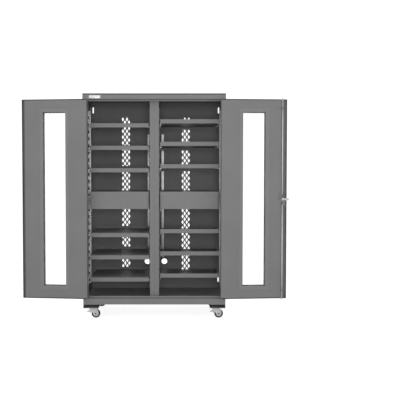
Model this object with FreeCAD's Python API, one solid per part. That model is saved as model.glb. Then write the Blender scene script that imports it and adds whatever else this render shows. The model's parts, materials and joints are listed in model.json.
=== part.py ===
import FreeCAD
import Part
import math
import os

# Mobile two-bay charging cabinet in folded sheet steel, drawn with both doors swung fully open.
# X runs to the right, Y from front to back, Z up. The origin is on the floor under the body.
# All lengths are in millimetres.

# Body
WIDTH = 1219.0
DEPTH = 610.0
BODY_HEIGHT = 1803.0
SHEET = 1.5
CAP_FLANGE = 12.0
JAMB_WIDTH = 44.0
JAMB_RETURN = 36.0
REAR_FLANGE = 20.0
HEADER_FACE = 36.0
SILL_FACE = 51.0
STOP_SETBACK = 34.0
STOP_HEIGHT = 16.0
FLOOR_DROP = 14.0
FLOOR_FLANGE_LIP = 25.0

# Base
RUNNER_HEIGHT = 32.0
RUNNER_WIDTH = 131.0
RUNNER_SLANT = 13.0
RUNNER_WALL = 3.0

# Diamond vents
VENT_COLUMNS = 4
VENT_COLUMN_PITCH = 19.25
VENT_ROW_PITCH = 27.75
VENT_HOLE_WIDTH = 21.0
VENT_HOLE_HEIGHT = 42.0
VENT_LOW_MARGIN = 217.0
VENT_HIGH_MARGIN = 170.0
BACK_VENT_OFFSET = 41.5
SIDE_VENT_FROM_REAR = 150.0

# Corner slots near the rear edges
CORNER_SLOT_WIDTH = 12.0
CORNER_SLOT_HEIGHT = 57.0
CORNER_SLOT_EDGE = 13.0
CORNER_SLOT_INSET = 85.0

# Cable ports
PORT_X = 80.0
PORT_RISE = 290.0
PORT_HOLE_RADIUS = 31.0
PORT_BORE_RADIUS = 27.5
PORT_LIP = 5.0
PORT_LIP_THICKNESS = 3.0

# Centre post
POST_HALF_WIDTH = 39.0
POST_SETBACK = 62.0
POST_SEAM = 0.5

# Shelves
SHELF_GAP_POST = 11.0
SHELF_GAP_SIDE = 52.0
SHELF_SETBACK = 70.0
SHELF_STRIP_GAP = 2.5
SHELF_FRONT_FLANGE = 36.0
SHELF_REAR_FLANGE = 25.0
SHELF_END_FLANGE = 15.0
SHELVES_PER_BANK = 3
SHELF_PITCH_SHARE = 0.1094
LOWER_BANK_SHARE = 0.1048
UPPER_BANK_SHARE = 0.6415
CENTRE_SHELF_SHARE = 0.5265
CENTRE_FLANGE = 35.0
CENTRE_CHEEK_HEIGHT = 150.0
CENTRE_CHEEK_RETURN = 10.0
COVER_RECESS = 2.0
COVER_SEAM = 1.0
COVER_BOTTOM_RETURN = 60.0

# Shelf uprights and clips
UPRIGHT_WIDTH = 26.0
UPRIGHT_SIDE_DEPTH = 25.0
UPRIGHT_POST_DEPTH = 9.0
UPRIGHT_WALL = 1.5
UPRIGHT_FRONT_INSET = 50.0
UPRIGHT_REAR_INSET = 168.0
UPRIGHT_LOW_GAP = 88.0
UPRIGHT_HIGH_GAP = 65.0
CLIP_WIDTH = 18.0
CLIP_WALL = 2.5
CLIP_DROP = 24.0
CLIP_REACH = 14.0

# Power strips
STRIP_WIDTH = 27.0
STRIP_DEPTH = 48.0
STRIP_FLOOR_GAP = 300.0
STRIP_CEILING_GAP = 313.5
STRIP_STANDOFF = 12.0
STRIP_FROM_BACK = 10.0
STRIP_CORNER = 3.0
STRIP_BRACKET_HEIGHT = 30.0
STRIP_BRACKET_INSET = 90.0
OUTLETS_PER_STRIP = 8
OUTLET_FIRST = 190.0
OUTLET_LAST = 86.0
OUTLET_WIDTH = 26.0
OUTLET_HEIGHT = 34.0
OUTLET_SINK = 2.0
SWITCH_Z = 70.0
SWITCH_WIDTH = 16.0
SWITCH_HEIGHT = 24.0
SWITCH_BEZEL = 3.0
SWITCH_POCKET = 9.0
SWITCH_CLEARANCE = 1.0
SWITCH_SEAT_GAP = 0.3
SWITCH_TILT = 6.0
GLAND_RADIUS = 8.0
GLAND_LENGTH = 18.0

# Doors
DOOR_THICKNESS = 32.0
DOOR_EDGE_GAP = 3.0
DOOR_SEAM = 3.0
DOOR_END_GAP = 4.0
LEFT_DOOR_OPEN_ANGLE = 186.0
RIGHT_DOOR_OPEN_ANGLE = 184.0
LEFT_EDGE_REBATE = 24.0
RIGHT_EDGE_CHANNEL = 47.0
WINDOW_WIDTH = 194.0
WINDOW_END_MARGIN = 109.0
WINDOW_LAP = 7.0
PANE_LAP = 12.0
PANE_THICKNESS = 3.0
FRAME_WALL = 2.0
FRAME_BORDER = 29.0
FRAME_FLANGE = 1.8
LINER_HOLE_GAP = 1.0
LINER_END_GAP = 6.0

# Hinges
HINGE_OFFSET = 6.0
KNUCKLE_RADIUS = 5.0
PIN_RADIUS = 2.5
PIN_CLEARANCE = 0.05
PIN_PROUD = 2.0
LEAF_THICKNESS = 1.2
LEAF_REACH = 30.0
KNUCKLE_LENGTH = 36.0
KNUCKLE_GAP = 0.4
HINGE_END_INSET = 150.0

# Three-point latch on the right door
LATCH_FROM_EDGE = 40.0
SPINDLE_RADIUS = 6.0
SPINDLE_CLEARANCE = 0.05
BARREL_RADIUS = 10.0
BARREL_CLEARANCE = 0.3
ESCUTCHEON_RADIUS = 21.0
ESCUTCHEON_THICKNESS = 3.0
BARREL_NUT_RADIUS = 15.0
BARREL_NUT_HEIGHT = 6.0
HUB_RADIUS = 16.0
HUB_LENGTH = 18.0
LEVER_LENGTH = 93.0
LEVER_WIDTH = 18.0
LEVER_TIP_WIDTH = 13.0
LEVER_THICKNESS = 8.0
LOCK_PLUG_RADIUS = 6.5
LOCK_PLUG_DEPTH = 8.0
LOCK_PLUG_PROUD = 1.0
CAM_GAP = 1.0
CAM_THICKNESS = 3.0
CAM_RADIUS = 24.0
CAM_PIN_ARM = 16.0
CAM_PIN_RADIUS = 3.0
CAM_PIN_REACH = 4.2
TONGUE_HEIGHT = 20.0
TONGUE_BEYOND = 18.0
ROD_GAP = 0.5
ROD_RADIUS = 5.0
ROD_BEYOND = 6.0
FOOT_THICKNESS = 3.0
FOOT_MARGIN = 6.0
FOOT_RISE = 44.0
SLOT_CLEARANCE = 1.0
GUIDE_INSET = 71.0
GUIDE_HEIGHT = 14.0
GUIDE_CLEARANCE = 0.3
GUIDE_WALL = 3.5
GUIDE_FOOT = 20.0
GUIDE_FOOT_THICKNESS = 2.5

# Casters
CASTER_HEIGHT = 95.0
CASTER_SIDE_INSET = 77.5
CASTER_END_INSET = 65.0
CASTER_TRAIL = 24.0
WHEEL_RADIUS = 38.0
WHEEL_WIDTH = 26.0
AXLE_RADIUS = 5.0
AXLE_CLEARANCE = 0.05
AXLE_HEAD_RADIUS = 8.0
AXLE_HEAD_HEIGHT = 4.0
FORK_WALL = 3.0
FORK_SIDE_GAP = 2.0
CROWN_REACH = 34.0
LEG_END = 22.0
PLATE_LENGTH = 92.0
PLATE_WIDTH = 66.0
PLATE_THICKNESS = 3.0
RACE_RADIUS = 23.0
RACE_HEIGHT = 6.0
RACE_GAP = 0.3
KINGPIN_RADIUS = 6.0
KINGPIN_CLEARANCE = 0.05
BOLT_SPACING_X = 74.0
BOLT_SPACING_Y = 46.0
BOLT_HEAD_RADIUS = 7.0
BOLT_HEAD_HEIGHT = 4.5
PEDAL_WIDTH = 22.0
PEDAL_LENGTH = 28.0
PEDAL_THICKNESS = 3.5
PEDAL_SLOPE = 14.0
PEDAL_PIVOT_X = -23.0
PEDAL_PIVOT_Z = 61.0
PEDAL_PIN_RADIUS = 3.0
PEDAL_PIN_CLEARANCE = 0.05
PEDAL_BARREL_WALL = 2.5
PEDAL_HEEL = 14.0
PEDAL_HEEL_WIDTH = 7.0
EAR_MARGIN = 7.0

# Worked-out places
FRONT = -DEPTH / 2
BACK = DEPTH / 2
BODY_LOW = CASTER_HEIGHT + RUNNER_HEIGHT
BODY_TOP = BODY_LOW + BODY_HEIGHT
CAP_LOW = BODY_TOP - CAP_FLANGE
SIDE_INNER = WIDTH / 2 - SHEET
OPENING_HALF = WIDTH / 2 - JAMB_WIDTH
HEADER_LOW = CAP_LOW - HEADER_FACE
SILL_TOP = BODY_LOW + SILL_FACE
STOP_FRONT = FRONT + STOP_SETBACK
FLOOR_TOP = SILL_TOP - FLOOR_DROP
CEILING = BODY_TOP - SHEET
BACK_INNER = BACK - SHEET
VENT_LOW = BODY_LOW + VENT_LOW_MARGIN
VENT_ROWS = int((BODY_TOP - VENT_HIGH_MARGIN - VENT_LOW) / VENT_ROW_PITCH) + 1
BACK_VENT_X = (POST_HALF_WIDTH + SIDE_INNER) / 2 - BACK_VENT_OFFSET
PORT_Z = BODY_LOW + PORT_RISE
POST_FRONT = FRONT + POST_SETBACK
STRIP_X = POST_HALF_WIDTH + STRIP_STANDOFF
STRIP_BACK = BACK_INNER - STRIP_FROM_BACK
STRIP_FRONT = STRIP_BACK - STRIP_DEPTH
STRIP_LOW = FLOOR_TOP + STRIP_FLOOR_GAP
STRIP_LENGTH = CEILING - STRIP_CEILING_GAP - STRIP_LOW
OUTLET_PITCH = (STRIP_LENGTH - OUTLET_FIRST - OUTLET_LAST) / (OUTLETS_PER_STRIP - 1)
SHELF_INNER_X = POST_HALF_WIDTH + SHELF_GAP_POST
SHELF_OUTER_X = SIDE_INNER - SHELF_GAP_SIDE
SHELF_FRONT = FRONT + SHELF_SETBACK
SHELF_BACK = STRIP_FRONT - SHELF_STRIP_GAP
CLEAR_HEIGHT = CEILING - FLOOR_TOP
SHELF_PITCH = CLEAR_HEIGHT * SHELF_PITCH_SHARE
LOWER_BANK_Z = FLOOR_TOP + CLEAR_HEIGHT * LOWER_BANK_SHARE
UPPER_BANK_Z = FLOOR_TOP + CLEAR_HEIGHT * UPPER_BANK_SHARE
CENTRE_SHELF_Z = FLOOR_TOP + CLEAR_HEIGHT * CENTRE_SHELF_SHARE
UPRIGHT_YS = (SHELF_FRONT + UPRIGHT_FRONT_INSET, SHELF_BACK - UPRIGHT_REAR_INSET)
DOOR_LOW = SILL_TOP + DOOR_END_GAP
DOOR_TOP = HEADER_LOW - DOOR_END_GAP
DOOR_HINGE_X = OPENING_HALF - DOOR_EDGE_GAP
DOOR_FREE_X = DOOR_SEAM / 2
DOOR_INNER = FRONT + DOOR_THICKNESS
DOOR_MIDDLE_X = (DOOR_HINGE_X + DOOR_FREE_X) / 2
DOOR_MIDDLE_Z = (DOOR_LOW + DOOR_TOP) / 2
WINDOW_HEIGHT = DOOR_TOP - DOOR_LOW - 2 * WINDOW_END_MARGIN
HINGE_X = OPENING_HALF - DOOR_EDGE_GAP / 2
HINGE_Y = FRONT - HINGE_OFFSET
HINGE_ZS = (DOOR_LOW + HINGE_END_INSET, DOOR_MIDDLE_Z, DOOR_TOP - HINGE_END_INSET)
LATCH_X = DOOR_FREE_X + LATCH_FROM_EDGE
LATCH_Z = DOOR_MIDDLE_Z
CAM_FRONT = DOOR_INNER + CAM_GAP
CAM_BACK = CAM_FRONT + CAM_THICKNESS
FOOT_FRONT = CAM_BACK + ROD_GAP
ROD_Y = FOOT_FRONT + ROD_RADIUS
PIN_SIDE = CAM_PIN_ARM * math.cos(math.radians(45))
CASTER_X = WIDTH / 2 - CASTER_SIDE_INSET
CASTER_Y = DEPTH / 2 - CASTER_END_INSET

UP = FreeCAD.Vector(0, 0, 1)
BACKWARDS = FreeCAD.Vector(0, 1, 0)
RIGHTWARDS = FreeCAD.Vector(1, 0, 0)


# Shape helpers

def point(x, y, z):
    return FreeCAD.Vector(x, y, z)


def block(x_pair, y_pair, z_pair):
    x0, x1 = sorted(x_pair)
    y0, y1 = sorted(y_pair)
    z0, z1 = sorted(z_pair)
    return Part.makeBox(x1 - x0, y1 - y0, z1 - z0, point(x0, y0, z0))


def rod(radius, start, direction, length):
    return Part.makeCylinder(radius, length, start, direction)


def extrude(points, travel):
    wire = Part.makePolygon(points + points[:1])
    return Part.Face(wire).extrude(travel)


def upright_prism(outline, low, high):
    return extrude([point(x, y, low) for x, y in outline], UP * (high - low))


def crosswise_prism(outline, left, right):
    return extrude([point(left, y, z) for y, z in outline], RIGHTWARDS * (right - left))


def depthwise_prism(outline, front, back):
    return extrude([point(x, front, z) for x, z in outline], BACKWARDS * (back - front))


def folded(path, wall):
    """The outline of a sheet whose outer face follows path, its thickness on the path's left."""
    normals = []
    for (x0, y0), (x1, y1) in zip(path, path[1:]):
        length = math.hypot(x1 - x0, y1 - y0)
        normals.append(((y0 - y1) / length, (x1 - x0) / length))
    inner = []
    for i, (x, y) in enumerate(path):
        before = normals[max(i - 1, 0)]
        after = normals[min(i, len(normals) - 1)]
        share = wall / (1 + before[0] * after[0] + before[1] * after[1])
        inner.append((x + (before[0] + after[0]) * share, y + (before[1] + after[1]) * share))
    return path + inner[::-1]


def mirrored(shape):
    return shape.mirror(point(0, 0, 0), RIGHTWARDS)


def fused(shapes):
    return shapes[0].multiFuse(shapes[1:]).removeSplitter()


def save(name, *solids):
    shape = solids[0] if len(solids) == 1 else Part.makeCompound(list(solids))
    shape.exportStep("parts/" + name + ".step")


# Body shell

def diamond_cutters(place):
    """Rows of diamonds, every other column in each row; place turns (across, z) into a corner."""
    half_width = VENT_HOLE_WIDTH / 2
    half_height = VENT_HOLE_HEIGHT / 2
    cutters = []
    for row in range(VENT_ROWS):
        z = VENT_LOW + row * VENT_ROW_PITCH
        for column in range(VENT_COLUMNS):
            if (row + column) % 2 == 0:
                continue
            across = (column - (VENT_COLUMNS - 1) / 2) * VENT_COLUMN_PITCH
            corners = [
                (across - half_width, z),
                (across, z - half_height),
                (across + half_width, z),
                (across, z + half_height),
            ]
            cutters.append([place(a, b) for a, b in corners])
    return cutters


def holed_sheet(corners, holes, travel):
    """A flat sheet with holes, extruded from one face."""
    outer = Part.makePolygon(corners + corners[:1])
    rings = [hole if isinstance(hole, Part.Wire) else Part.makePolygon(hole + hole[:1]) for hole in holes]
    face = Part.Face(Part.makeCompound([outer] + rings), "Part::FaceMakerBullseye")
    return face.extrude(travel)


def obround(centre, along, across, length, width):
    """A slot's wire: two straight sides and two half circles."""
    radius = width / 2
    reach = along * (length / 2 - radius)
    side = across * radius
    low, high = centre - reach, centre + reach
    edges = [
        Part.makeLine(low + side, high + side),
        Part.Arc(high + side, high + along * radius, high - side).toShape(),
        Part.makeLine(high - side, low - side),
        Part.Arc(low - side, low - along * radius, low + side).toShape(),
    ]
    return Part.Wire(edges)


def corner_slot_heights():
    return (FLOOR_TOP + CORNER_SLOT_INSET, CEILING - CORNER_SLOT_INSET)


def left_side_panel():
    """Side wall with the front jamb and the rear flange folded in."""
    wall_x = -WIDTH / 2
    vent_y = BACK - SIDE_VENT_FROM_REAR
    holes = diamond_cutters(lambda across, z: point(wall_x, vent_y + across, z))
    slot_y = BACK_INNER - CORNER_SLOT_EDGE - CORNER_SLOT_WIDTH / 2
    for z in corner_slot_heights():
        centre = point(wall_x, slot_y, z)
        holes.append(obround(centre, UP, BACKWARDS, CORNER_SLOT_HEIGHT, CORNER_SLOT_WIDTH))
    corners = [
        point(wall_x, FRONT + SHEET, BODY_LOW),
        point(wall_x, BACK_INNER, BODY_LOW),
        point(wall_x, BACK_INNER, CAP_LOW),
        point(wall_x, FRONT + SHEET, CAP_LOW),
    ]
    wall = holed_sheet(corners, holes, RIGHTWARDS * SHEET)
    jamb_path = [
        (-WIDTH / 2, FRONT + SHEET),
        (-WIDTH / 2, FRONT),
        (-OPENING_HALF, FRONT),
        (-OPENING_HALF, FRONT + JAMB_RETURN),
    ]
    jamb = upright_prism(folded(jamb_path, SHEET), BODY_LOW, CAP_LOW)
    flange = block(
        (wall_x + SHEET, wall_x + REAR_FLANGE),
        (BACK_INNER - SHEET, BACK_INNER),
        (BODY_LOW, CAP_LOW),
    )
    for z in corner_slot_heights():
        slot_x = wall_x + CORNER_SLOT_EDGE + CORNER_SLOT_WIDTH / 2
        notch = block(
            (slot_x - CORNER_SLOT_WIDTH / 2 - SHEET, slot_x + CORNER_SLOT_WIDTH),
            (BACK_INNER - SHEET, BACK_INNER),
            (z - CORNER_SLOT_HEIGHT / 2, z + CORNER_SLOT_HEIGHT / 2),
        )
        flange = flange.cut(notch)
    return fused([wall, jamb, flange])


def back_panel():
    """Flat rear sheet with two bands of diamonds, two cable ports and four corner slots."""
    holes = []
    for side in (-1, 1):
        holes += diamond_cutters(
            lambda across, z, side=side: point(side * (BACK_VENT_X - across), BACK_INNER, z)
        )
        port = Part.Circle(point(side * PORT_X, BACK_INNER, PORT_Z), BACKWARDS, PORT_HOLE_RADIUS)
        holes.append(Part.Wire(port.toShape()))
        slot_x = side * (WIDTH / 2 - CORNER_SLOT_EDGE - CORNER_SLOT_WIDTH / 2)
        for z in corner_slot_heights():
            centre = point(slot_x, BACK_INNER, z)
            holes.append(obround(centre, UP, RIGHTWARDS, CORNER_SLOT_HEIGHT, CORNER_SLOT_WIDTH))
    corners = [
        point(-WIDTH / 2, BACK_INNER, BODY_LOW),
        point(WIDTH / 2, BACK_INNER, BODY_LOW),
        point(WIDTH / 2, BACK_INNER, CAP_LOW),
        point(-WIDTH / 2, BACK_INNER, CAP_LOW),
    ]
    return holed_sheet(corners, holes, BACKWARDS * SHEET)


def top_panel():
    """Lid pan whose short flange stands on the walls and the header."""
    lid = block((-WIDTH / 2, WIDTH / 2), (FRONT, BACK), (CAP_LOW, BODY_TOP))
    edges = [e for e in lid.Edges if e.BoundBox.ZMin > BODY_TOP - 0.1]
    lid = lid.makeFillet(2 * SHEET, edges)
    hollow = block((-SIDE_INNER, SIDE_INNER), (FRONT + SHEET, BACK_INNER), (CAP_LOW, CEILING))
    return lid.cut(hollow)


def header_rail():
    path = [
        (STOP_FRONT, HEADER_LOW - STOP_HEIGHT),
        (STOP_FRONT, HEADER_LOW),
        (FRONT, HEADER_LOW),
        (FRONT, CAP_LOW),
    ]
    return crosswise_prism(folded(path[::-1], SHEET), -OPENING_HALF, OPENING_HALF)


def sill_rail():
    path = [
        (FRONT, BODY_LOW),
        (FRONT, SILL_TOP),
        (STOP_FRONT, SILL_TOP),
        (STOP_FRONT, SILL_TOP + STOP_HEIGHT),
    ]
    outline = folded(path[::-1], SHEET)
    return crosswise_prism(outline, -OPENING_HALF, OPENING_HALF)


def base_pan():
    """Cabinet floor with flanges turned down to the runners, each with a lip for the fasteners."""
    low_face = FLOOR_TOP - SHEET
    floor = block((-SIDE_INNER, SIDE_INNER), (FRONT + JAMB_RETURN, BACK_INNER), (low_face, FLOOR_TOP))
    front_floor = block(
        (-OPENING_HALF, OPENING_HALF),
        (FRONT + SHEET, FRONT + JAMB_RETURN),
        (low_face, FLOOR_TOP),
    )
    rear_path = [
        (BACK_INNER - FLOOR_FLANGE_LIP, BODY_LOW),
        (BACK_INNER, BODY_LOW),
        (BACK_INNER, low_face),
    ]
    flange_end = SIDE_INNER - REAR_FLANGE
    rear = crosswise_prism(folded(rear_path, SHEET), -flange_end, flange_end)
    side_path = [
        (-SIDE_INNER, low_face),
        (-SIDE_INNER, BODY_LOW),
        (-SIDE_INNER + FLOOR_FLANGE_LIP, BODY_LOW),
    ]
    side = depthwise_prism(folded(side_path, SHEET), FRONT + JAMB_RETURN, BACK_INNER - FLOOR_FLANGE_LIP)
    notches = []
    for sign in (-1, 1):
        corner_x = sorted((sign * SIDE_INNER, sign * (SIDE_INNER - REAR_FLANGE)))
        notches.append(block(corner_x, (BACK_INNER - SHEET, BACK_INNER), (low_face, FLOOR_TOP)))
    return fused([floor, front_floor, rear, side, mirrored(side)]).cut(Part.makeCompound(notches))


def divider():
    """One of the two channels that stand back to back as the centre post."""
    path = [
        (-POST_SEAM - REAR_FLANGE, BACK_INNER),
        (-POST_HALF_WIDTH, BACK_INNER),
        (-POST_HALF_WIDTH, POST_FRONT),
        (-POST_SEAM, POST_FRONT),
    ]
    return upright_prism(folded(path, SHEET), FLOOR_TOP, CEILING)


def left_runner():
    """Open-ended channel from front to back that the casters bolt to."""
    outer_x = -WIDTH / 2
    inner_low = outer_x + RUNNER_WIDTH
    inner_high = inner_low + RUNNER_SLANT
    outer = [
        (outer_x, CASTER_HEIGHT),
        (inner_low, CASTER_HEIGHT),
        (inner_high, BODY_LOW),
        (outer_x, BODY_LOW),
    ]
    shift = RUNNER_SLANT / RUNNER_HEIGHT * RUNNER_WALL
    hollow = [
        (outer_x + RUNNER_WALL, CASTER_HEIGHT + RUNNER_WALL),
        (inner_low - RUNNER_WALL + shift, CASTER_HEIGHT + RUNNER_WALL),
        (inner_high - RUNNER_WALL - shift, BODY_LOW - RUNNER_WALL),
        (outer_x + RUNNER_WALL, BODY_LOW - RUNNER_WALL),
    ]
    return depthwise_prism(outer, FRONT, BACK).cut(depthwise_prism(hollow, FRONT, BACK))


# Shelves and what carries them

def bank_heights():
    lower = [LOWER_BANK_Z + i * SHELF_PITCH for i in range(SHELVES_PER_BANK)]
    upper = [UPPER_BANK_Z + i * SHELF_PITCH for i in range(SHELVES_PER_BANK)]
    return lower + upper


def shelf(turned_over):
    """A shelf for the right bay at height 0, its plate's top face there, flanges up or down."""
    way = 1 if turned_over else -1
    plate_low, plate_high = -SHEET, 0.0
    base = plate_low if turned_over else plate_high
    xs = (SHELF_INNER_X, SHELF_OUTER_X)
    plate = block(xs, (SHELF_FRONT, SHELF_BACK), (plate_low, plate_high))
    front = block(xs, (SHELF_FRONT, SHELF_FRONT + SHEET), (base, base + way * SHELF_FRONT_FLANGE))
    lip_base = plate_high if turned_over else plate_low
    rear = block(xs, (SHELF_BACK - SHEET, SHELF_BACK), (lip_base, lip_base - way * SHELF_REAR_FLANGE))
    end_zs = (base, base + way * SHELF_END_FLANGE)
    ends = [
        block((x, x + inward * SHEET), (SHELF_FRONT + SHEET, SHELF_BACK), end_zs)
        for x, inward in ((SHELF_INNER_X, 1), (SHELF_OUTER_X, -1))
    ]
    return fused([plate, front, rear] + ends)


def centre_shelf():
    """Fixed shelf of the right bay with a deep cheek at each end for the raceway cover."""
    xs = (SHELF_INNER_X, SHELF_OUTER_X)
    top = CENTRE_SHELF_Z
    plate = block(xs, (SHELF_FRONT, SHELF_BACK), (top - SHEET, top))
    front = block(xs, (SHELF_FRONT, SHELF_FRONT + SHEET), (top - CENTRE_FLANGE, top))
    cheeks = []
    for x, inward in ((SHELF_INNER_X, 1), (SHELF_OUTER_X, -1)):
        zs = (top - CENTRE_CHEEK_HEIGHT, top)
        cheeks.append(block((x, x + inward * SHEET), (SHELF_FRONT, SHELF_BACK), zs))
        cheeks.append(block((x, x + inward * CENTRE_CHEEK_RETURN), (SHELF_FRONT, SHELF_FRONT + SHEET), zs))
    return fused([plate, front] + cheeks)


def raceway_cover():
    """Recessed cover under the centre shelf of the right bay, with a bottom return."""
    left = SHELF_INNER_X + CENTRE_CHEEK_RETURN + COVER_SEAM
    right = SHELF_OUTER_X - CENTRE_CHEEK_RETURN - COVER_SEAM
    face = SHELF_FRONT + COVER_RECESS
    low = CENTRE_SHELF_Z - CENTRE_CHEEK_HEIGHT
    path = [
        (face + COVER_BOTTOM_RETURN, low),
        (face, low),
        (face, CENTRE_SHELF_Z - SHEET),
    ]
    return crosswise_prism(folded(path[::-1], SHEET), left, right)


def upright(wall_x, inward, y):
    """A channel standard on a wall, open towards the wall."""
    depth = UPRIGHT_POST_DEPTH if abs(wall_x) < SHELF_INNER_X else UPRIGHT_SIDE_DEPTH
    low, high = FLOOR_TOP + UPRIGHT_LOW_GAP, HEADER_LOW - UPRIGHT_HIGH_GAP
    outer = block(
        (wall_x, wall_x + inward * depth),
        (y - UPRIGHT_WIDTH / 2, y + UPRIGHT_WIDTH / 2),
        (low, high),
    )
    inner = block(
        (wall_x, wall_x + inward * (depth - UPRIGHT_WALL)),
        (y - UPRIGHT_WIDTH / 2 + UPRIGHT_WALL, y + UPRIGHT_WIDTH / 2 - UPRIGHT_WALL),
        (low, high),
    )
    return outer.cut(inner)


def clip(face_x, shelf_x, y, rest_z):
    """An angle that hangs on an upright's face and carries a shelf's end at rest_z."""
    inward = 1 if shelf_x > face_x else -1
    tip = shelf_x + inward * CLIP_REACH
    ys = (y - CLIP_WIDTH / 2, y + CLIP_WIDTH / 2)
    tab = block((face_x, face_x + inward * CLIP_WALL), ys, (rest_z - CLIP_DROP, rest_z))
    tongue = block((face_x, tip), ys, (rest_z - CLIP_WALL, rest_z))
    return fused([tab, tongue])


def uprights():
    stand = []
    for y in UPRIGHT_YS:
        stand.append(upright(POST_HALF_WIDTH, 1, y))
        stand.append(upright(SIDE_INNER, -1, y))
    return stand + [mirrored(s) for s in stand]


def clip_set(rest_z):
    """The four clips of one shelf in the right bay."""
    clips = []
    for y in UPRIGHT_YS:
        clips.append(clip(POST_HALF_WIDTH + UPRIGHT_POST_DEPTH, SHELF_INNER_X, y, rest_z))
        clips.append(clip(SIDE_INNER - UPRIGHT_SIDE_DEPTH, SHELF_OUTER_X, y, rest_z))
    return clips


def shelf_clips():
    clips = []
    for height in bank_heights():
        clips += clip_set(height - SHEET)
        clips += [mirrored(c) for c in clip_set(height - SHELF_END_FLANGE)]
    fixed = clip_set(CENTRE_SHELF_Z - CENTRE_CHEEK_HEIGHT)
    return clips + fixed + [mirrored(c) for c in fixed]


# Power strips

def outlet_heights():
    return [STRIP_LOW + OUTLET_FIRST + i * OUTLET_PITCH for i in range(OUTLETS_PER_STRIP)]


def strip_middle_y():
    return (STRIP_FRONT + STRIP_BACK) / 2


def power_strip():
    """Right bay's strip: housing with outlet pockets on its outer side, feet and a cable gland."""
    outer_x = STRIP_X + STRIP_WIDTH
    body = block((STRIP_X, outer_x), (STRIP_FRONT, STRIP_BACK), (STRIP_LOW, STRIP_LOW + STRIP_LENGTH))
    long_edges = [e for e in body.Edges if e.Length > STRIP_LENGTH - 1]
    body = body.makeFillet(STRIP_CORNER, long_edges)
    middle = strip_middle_y()
    pockets = [
        block(
            (outer_x - OUTLET_SINK, outer_x),
            (middle - OUTLET_WIDTH / 2, middle + OUTLET_WIDTH / 2),
            (z - OUTLET_HEIGHT / 2, z + OUTLET_HEIGHT / 2),
        )
        for z in outlet_heights()
    ]
    switch_z = STRIP_LOW + SWITCH_Z
    half_width = SWITCH_WIDTH / 2 + SWITCH_CLEARANCE
    half_height = SWITCH_HEIGHT / 2 + SWITCH_CLEARANCE
    pockets.append(
        block(
            (outer_x - SWITCH_POCKET, outer_x),
            (middle - half_width, middle + half_width),
            (switch_z - half_height, switch_z + half_height),
        )
    )
    body = body.cut(Part.makeCompound(pockets))
    foot_depth = (STRIP_FRONT + STRIP_CORNER, STRIP_BACK - STRIP_CORNER)
    pieces = [body]
    for z in (STRIP_LOW + STRIP_BRACKET_INSET, STRIP_LOW + STRIP_LENGTH - STRIP_BRACKET_INSET):
        zs = (z - STRIP_BRACKET_HEIGHT / 2, z + STRIP_BRACKET_HEIGHT / 2)
        pieces.append(block((POST_HALF_WIDTH, STRIP_X), foot_depth, zs))
    gland_start = point(STRIP_X + STRIP_WIDTH / 2, middle, STRIP_LOW - GLAND_LENGTH)
    pieces.append(rod(GLAND_RADIUS, gland_start, UP, GLAND_LENGTH))
    return fused(pieces)


def outlets():
    outer_x = STRIP_X + STRIP_WIDTH
    middle = strip_middle_y()
    return [
        block(
            (outer_x - OUTLET_SINK, outer_x),
            (middle - OUTLET_WIDTH / 2, middle + OUTLET_WIDTH / 2),
            (z - OUTLET_HEIGHT / 2, z + OUTLET_HEIGHT / 2),
        )
        for z in outlet_heights()
    ]


def strip_switch():
    """Rocker with a shallow V face that tips about its keel on the pocket's floor."""
    outer_x = STRIP_X + STRIP_WIDTH
    middle = strip_middle_y()
    z = STRIP_LOW + SWITCH_Z
    half = SWITCH_HEIGHT / 2
    keel = SWITCH_POCKET - SWITCH_SEAT_GAP
    outline = [
        (outer_x - keel, z),
        (outer_x - SWITCH_CLEARANCE, z - half),
        (outer_x + SWITCH_BEZEL, z - half),
        (outer_x + SWITCH_CLEARANCE, z),
        (outer_x + SWITCH_BEZEL, z + half),
        (outer_x - SWITCH_CLEARANCE, z + half),
    ]
    rocker = depthwise_prism(outline, middle - SWITCH_WIDTH / 2, middle + SWITCH_WIDTH / 2)
    rocker.rotate(point(outer_x - keel, middle, z), BACKWARDS, SWITCH_TILT)
    return rocker


def grommet(side):
    """Rubber ring that lines a cable port, its lip on the inner face of the sheet."""
    start = point(side * PORT_X, BACK_INNER - PORT_LIP_THICKNESS, PORT_Z)
    lip = rod(PORT_HOLE_RADIUS + PORT_LIP, start, BACKWARDS, PORT_LIP_THICKNESS)
    sleeve = rod(PORT_HOLE_RADIUS, start, BACKWARDS, PORT_LIP_THICKNESS + SHEET)
    return fused([lip, sleeve]).cut(rod(PORT_BORE_RADIUS, start, BACKWARDS, PORT_LIP_THICKNESS + SHEET))


# Doors, drawn shut for the right-hand opening and swung open when saved

def swung_open(shape, angle=RIGHT_DOOR_OPEN_ANGLE):
    """Turns a piece of a closed door, drawn for the right-hand opening, to its open place."""
    turned = shape.copy()
    turned.rotate(point(HINGE_X, HINGE_Y, 0), UP, angle)
    return turned


def window_hole(margin, y_pair):
    half_width = WINDOW_WIDTH / 2 + margin
    half_height = WINDOW_HEIGHT / 2 + margin
    return block(
        (DOOR_MIDDLE_X - half_width, DOOR_MIDDLE_X + half_width),
        y_pair,
        (DOOR_MIDDLE_Z - half_height, DOOR_MIDDLE_Z + half_height),
    )


def door_pan(latched):
    """Outer skin with a flange on each edge and the window cut out."""
    xs, zs = (DOOR_FREE_X, DOOR_HINGE_X), (DOOR_LOW, DOOR_TOP)
    outer = block(xs, (FRONT, DOOR_INNER), zs)
    inner = block(
        (DOOR_FREE_X + SHEET, DOOR_HINGE_X - SHEET),
        (FRONT + SHEET, DOOR_INNER),
        (DOOR_LOW + SHEET, DOOR_TOP - SHEET),
    )
    pan = outer.cut(inner).cut(window_hole(-WINDOW_LAP, (FRONT, FRONT + SHEET)))
    if latched:
        pan = pan.cut(rod(BARREL_RADIUS + BARREL_CLEARANCE, point(LATCH_X, FRONT, LATCH_Z), BACKWARDS, SHEET))
    return pan


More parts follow.
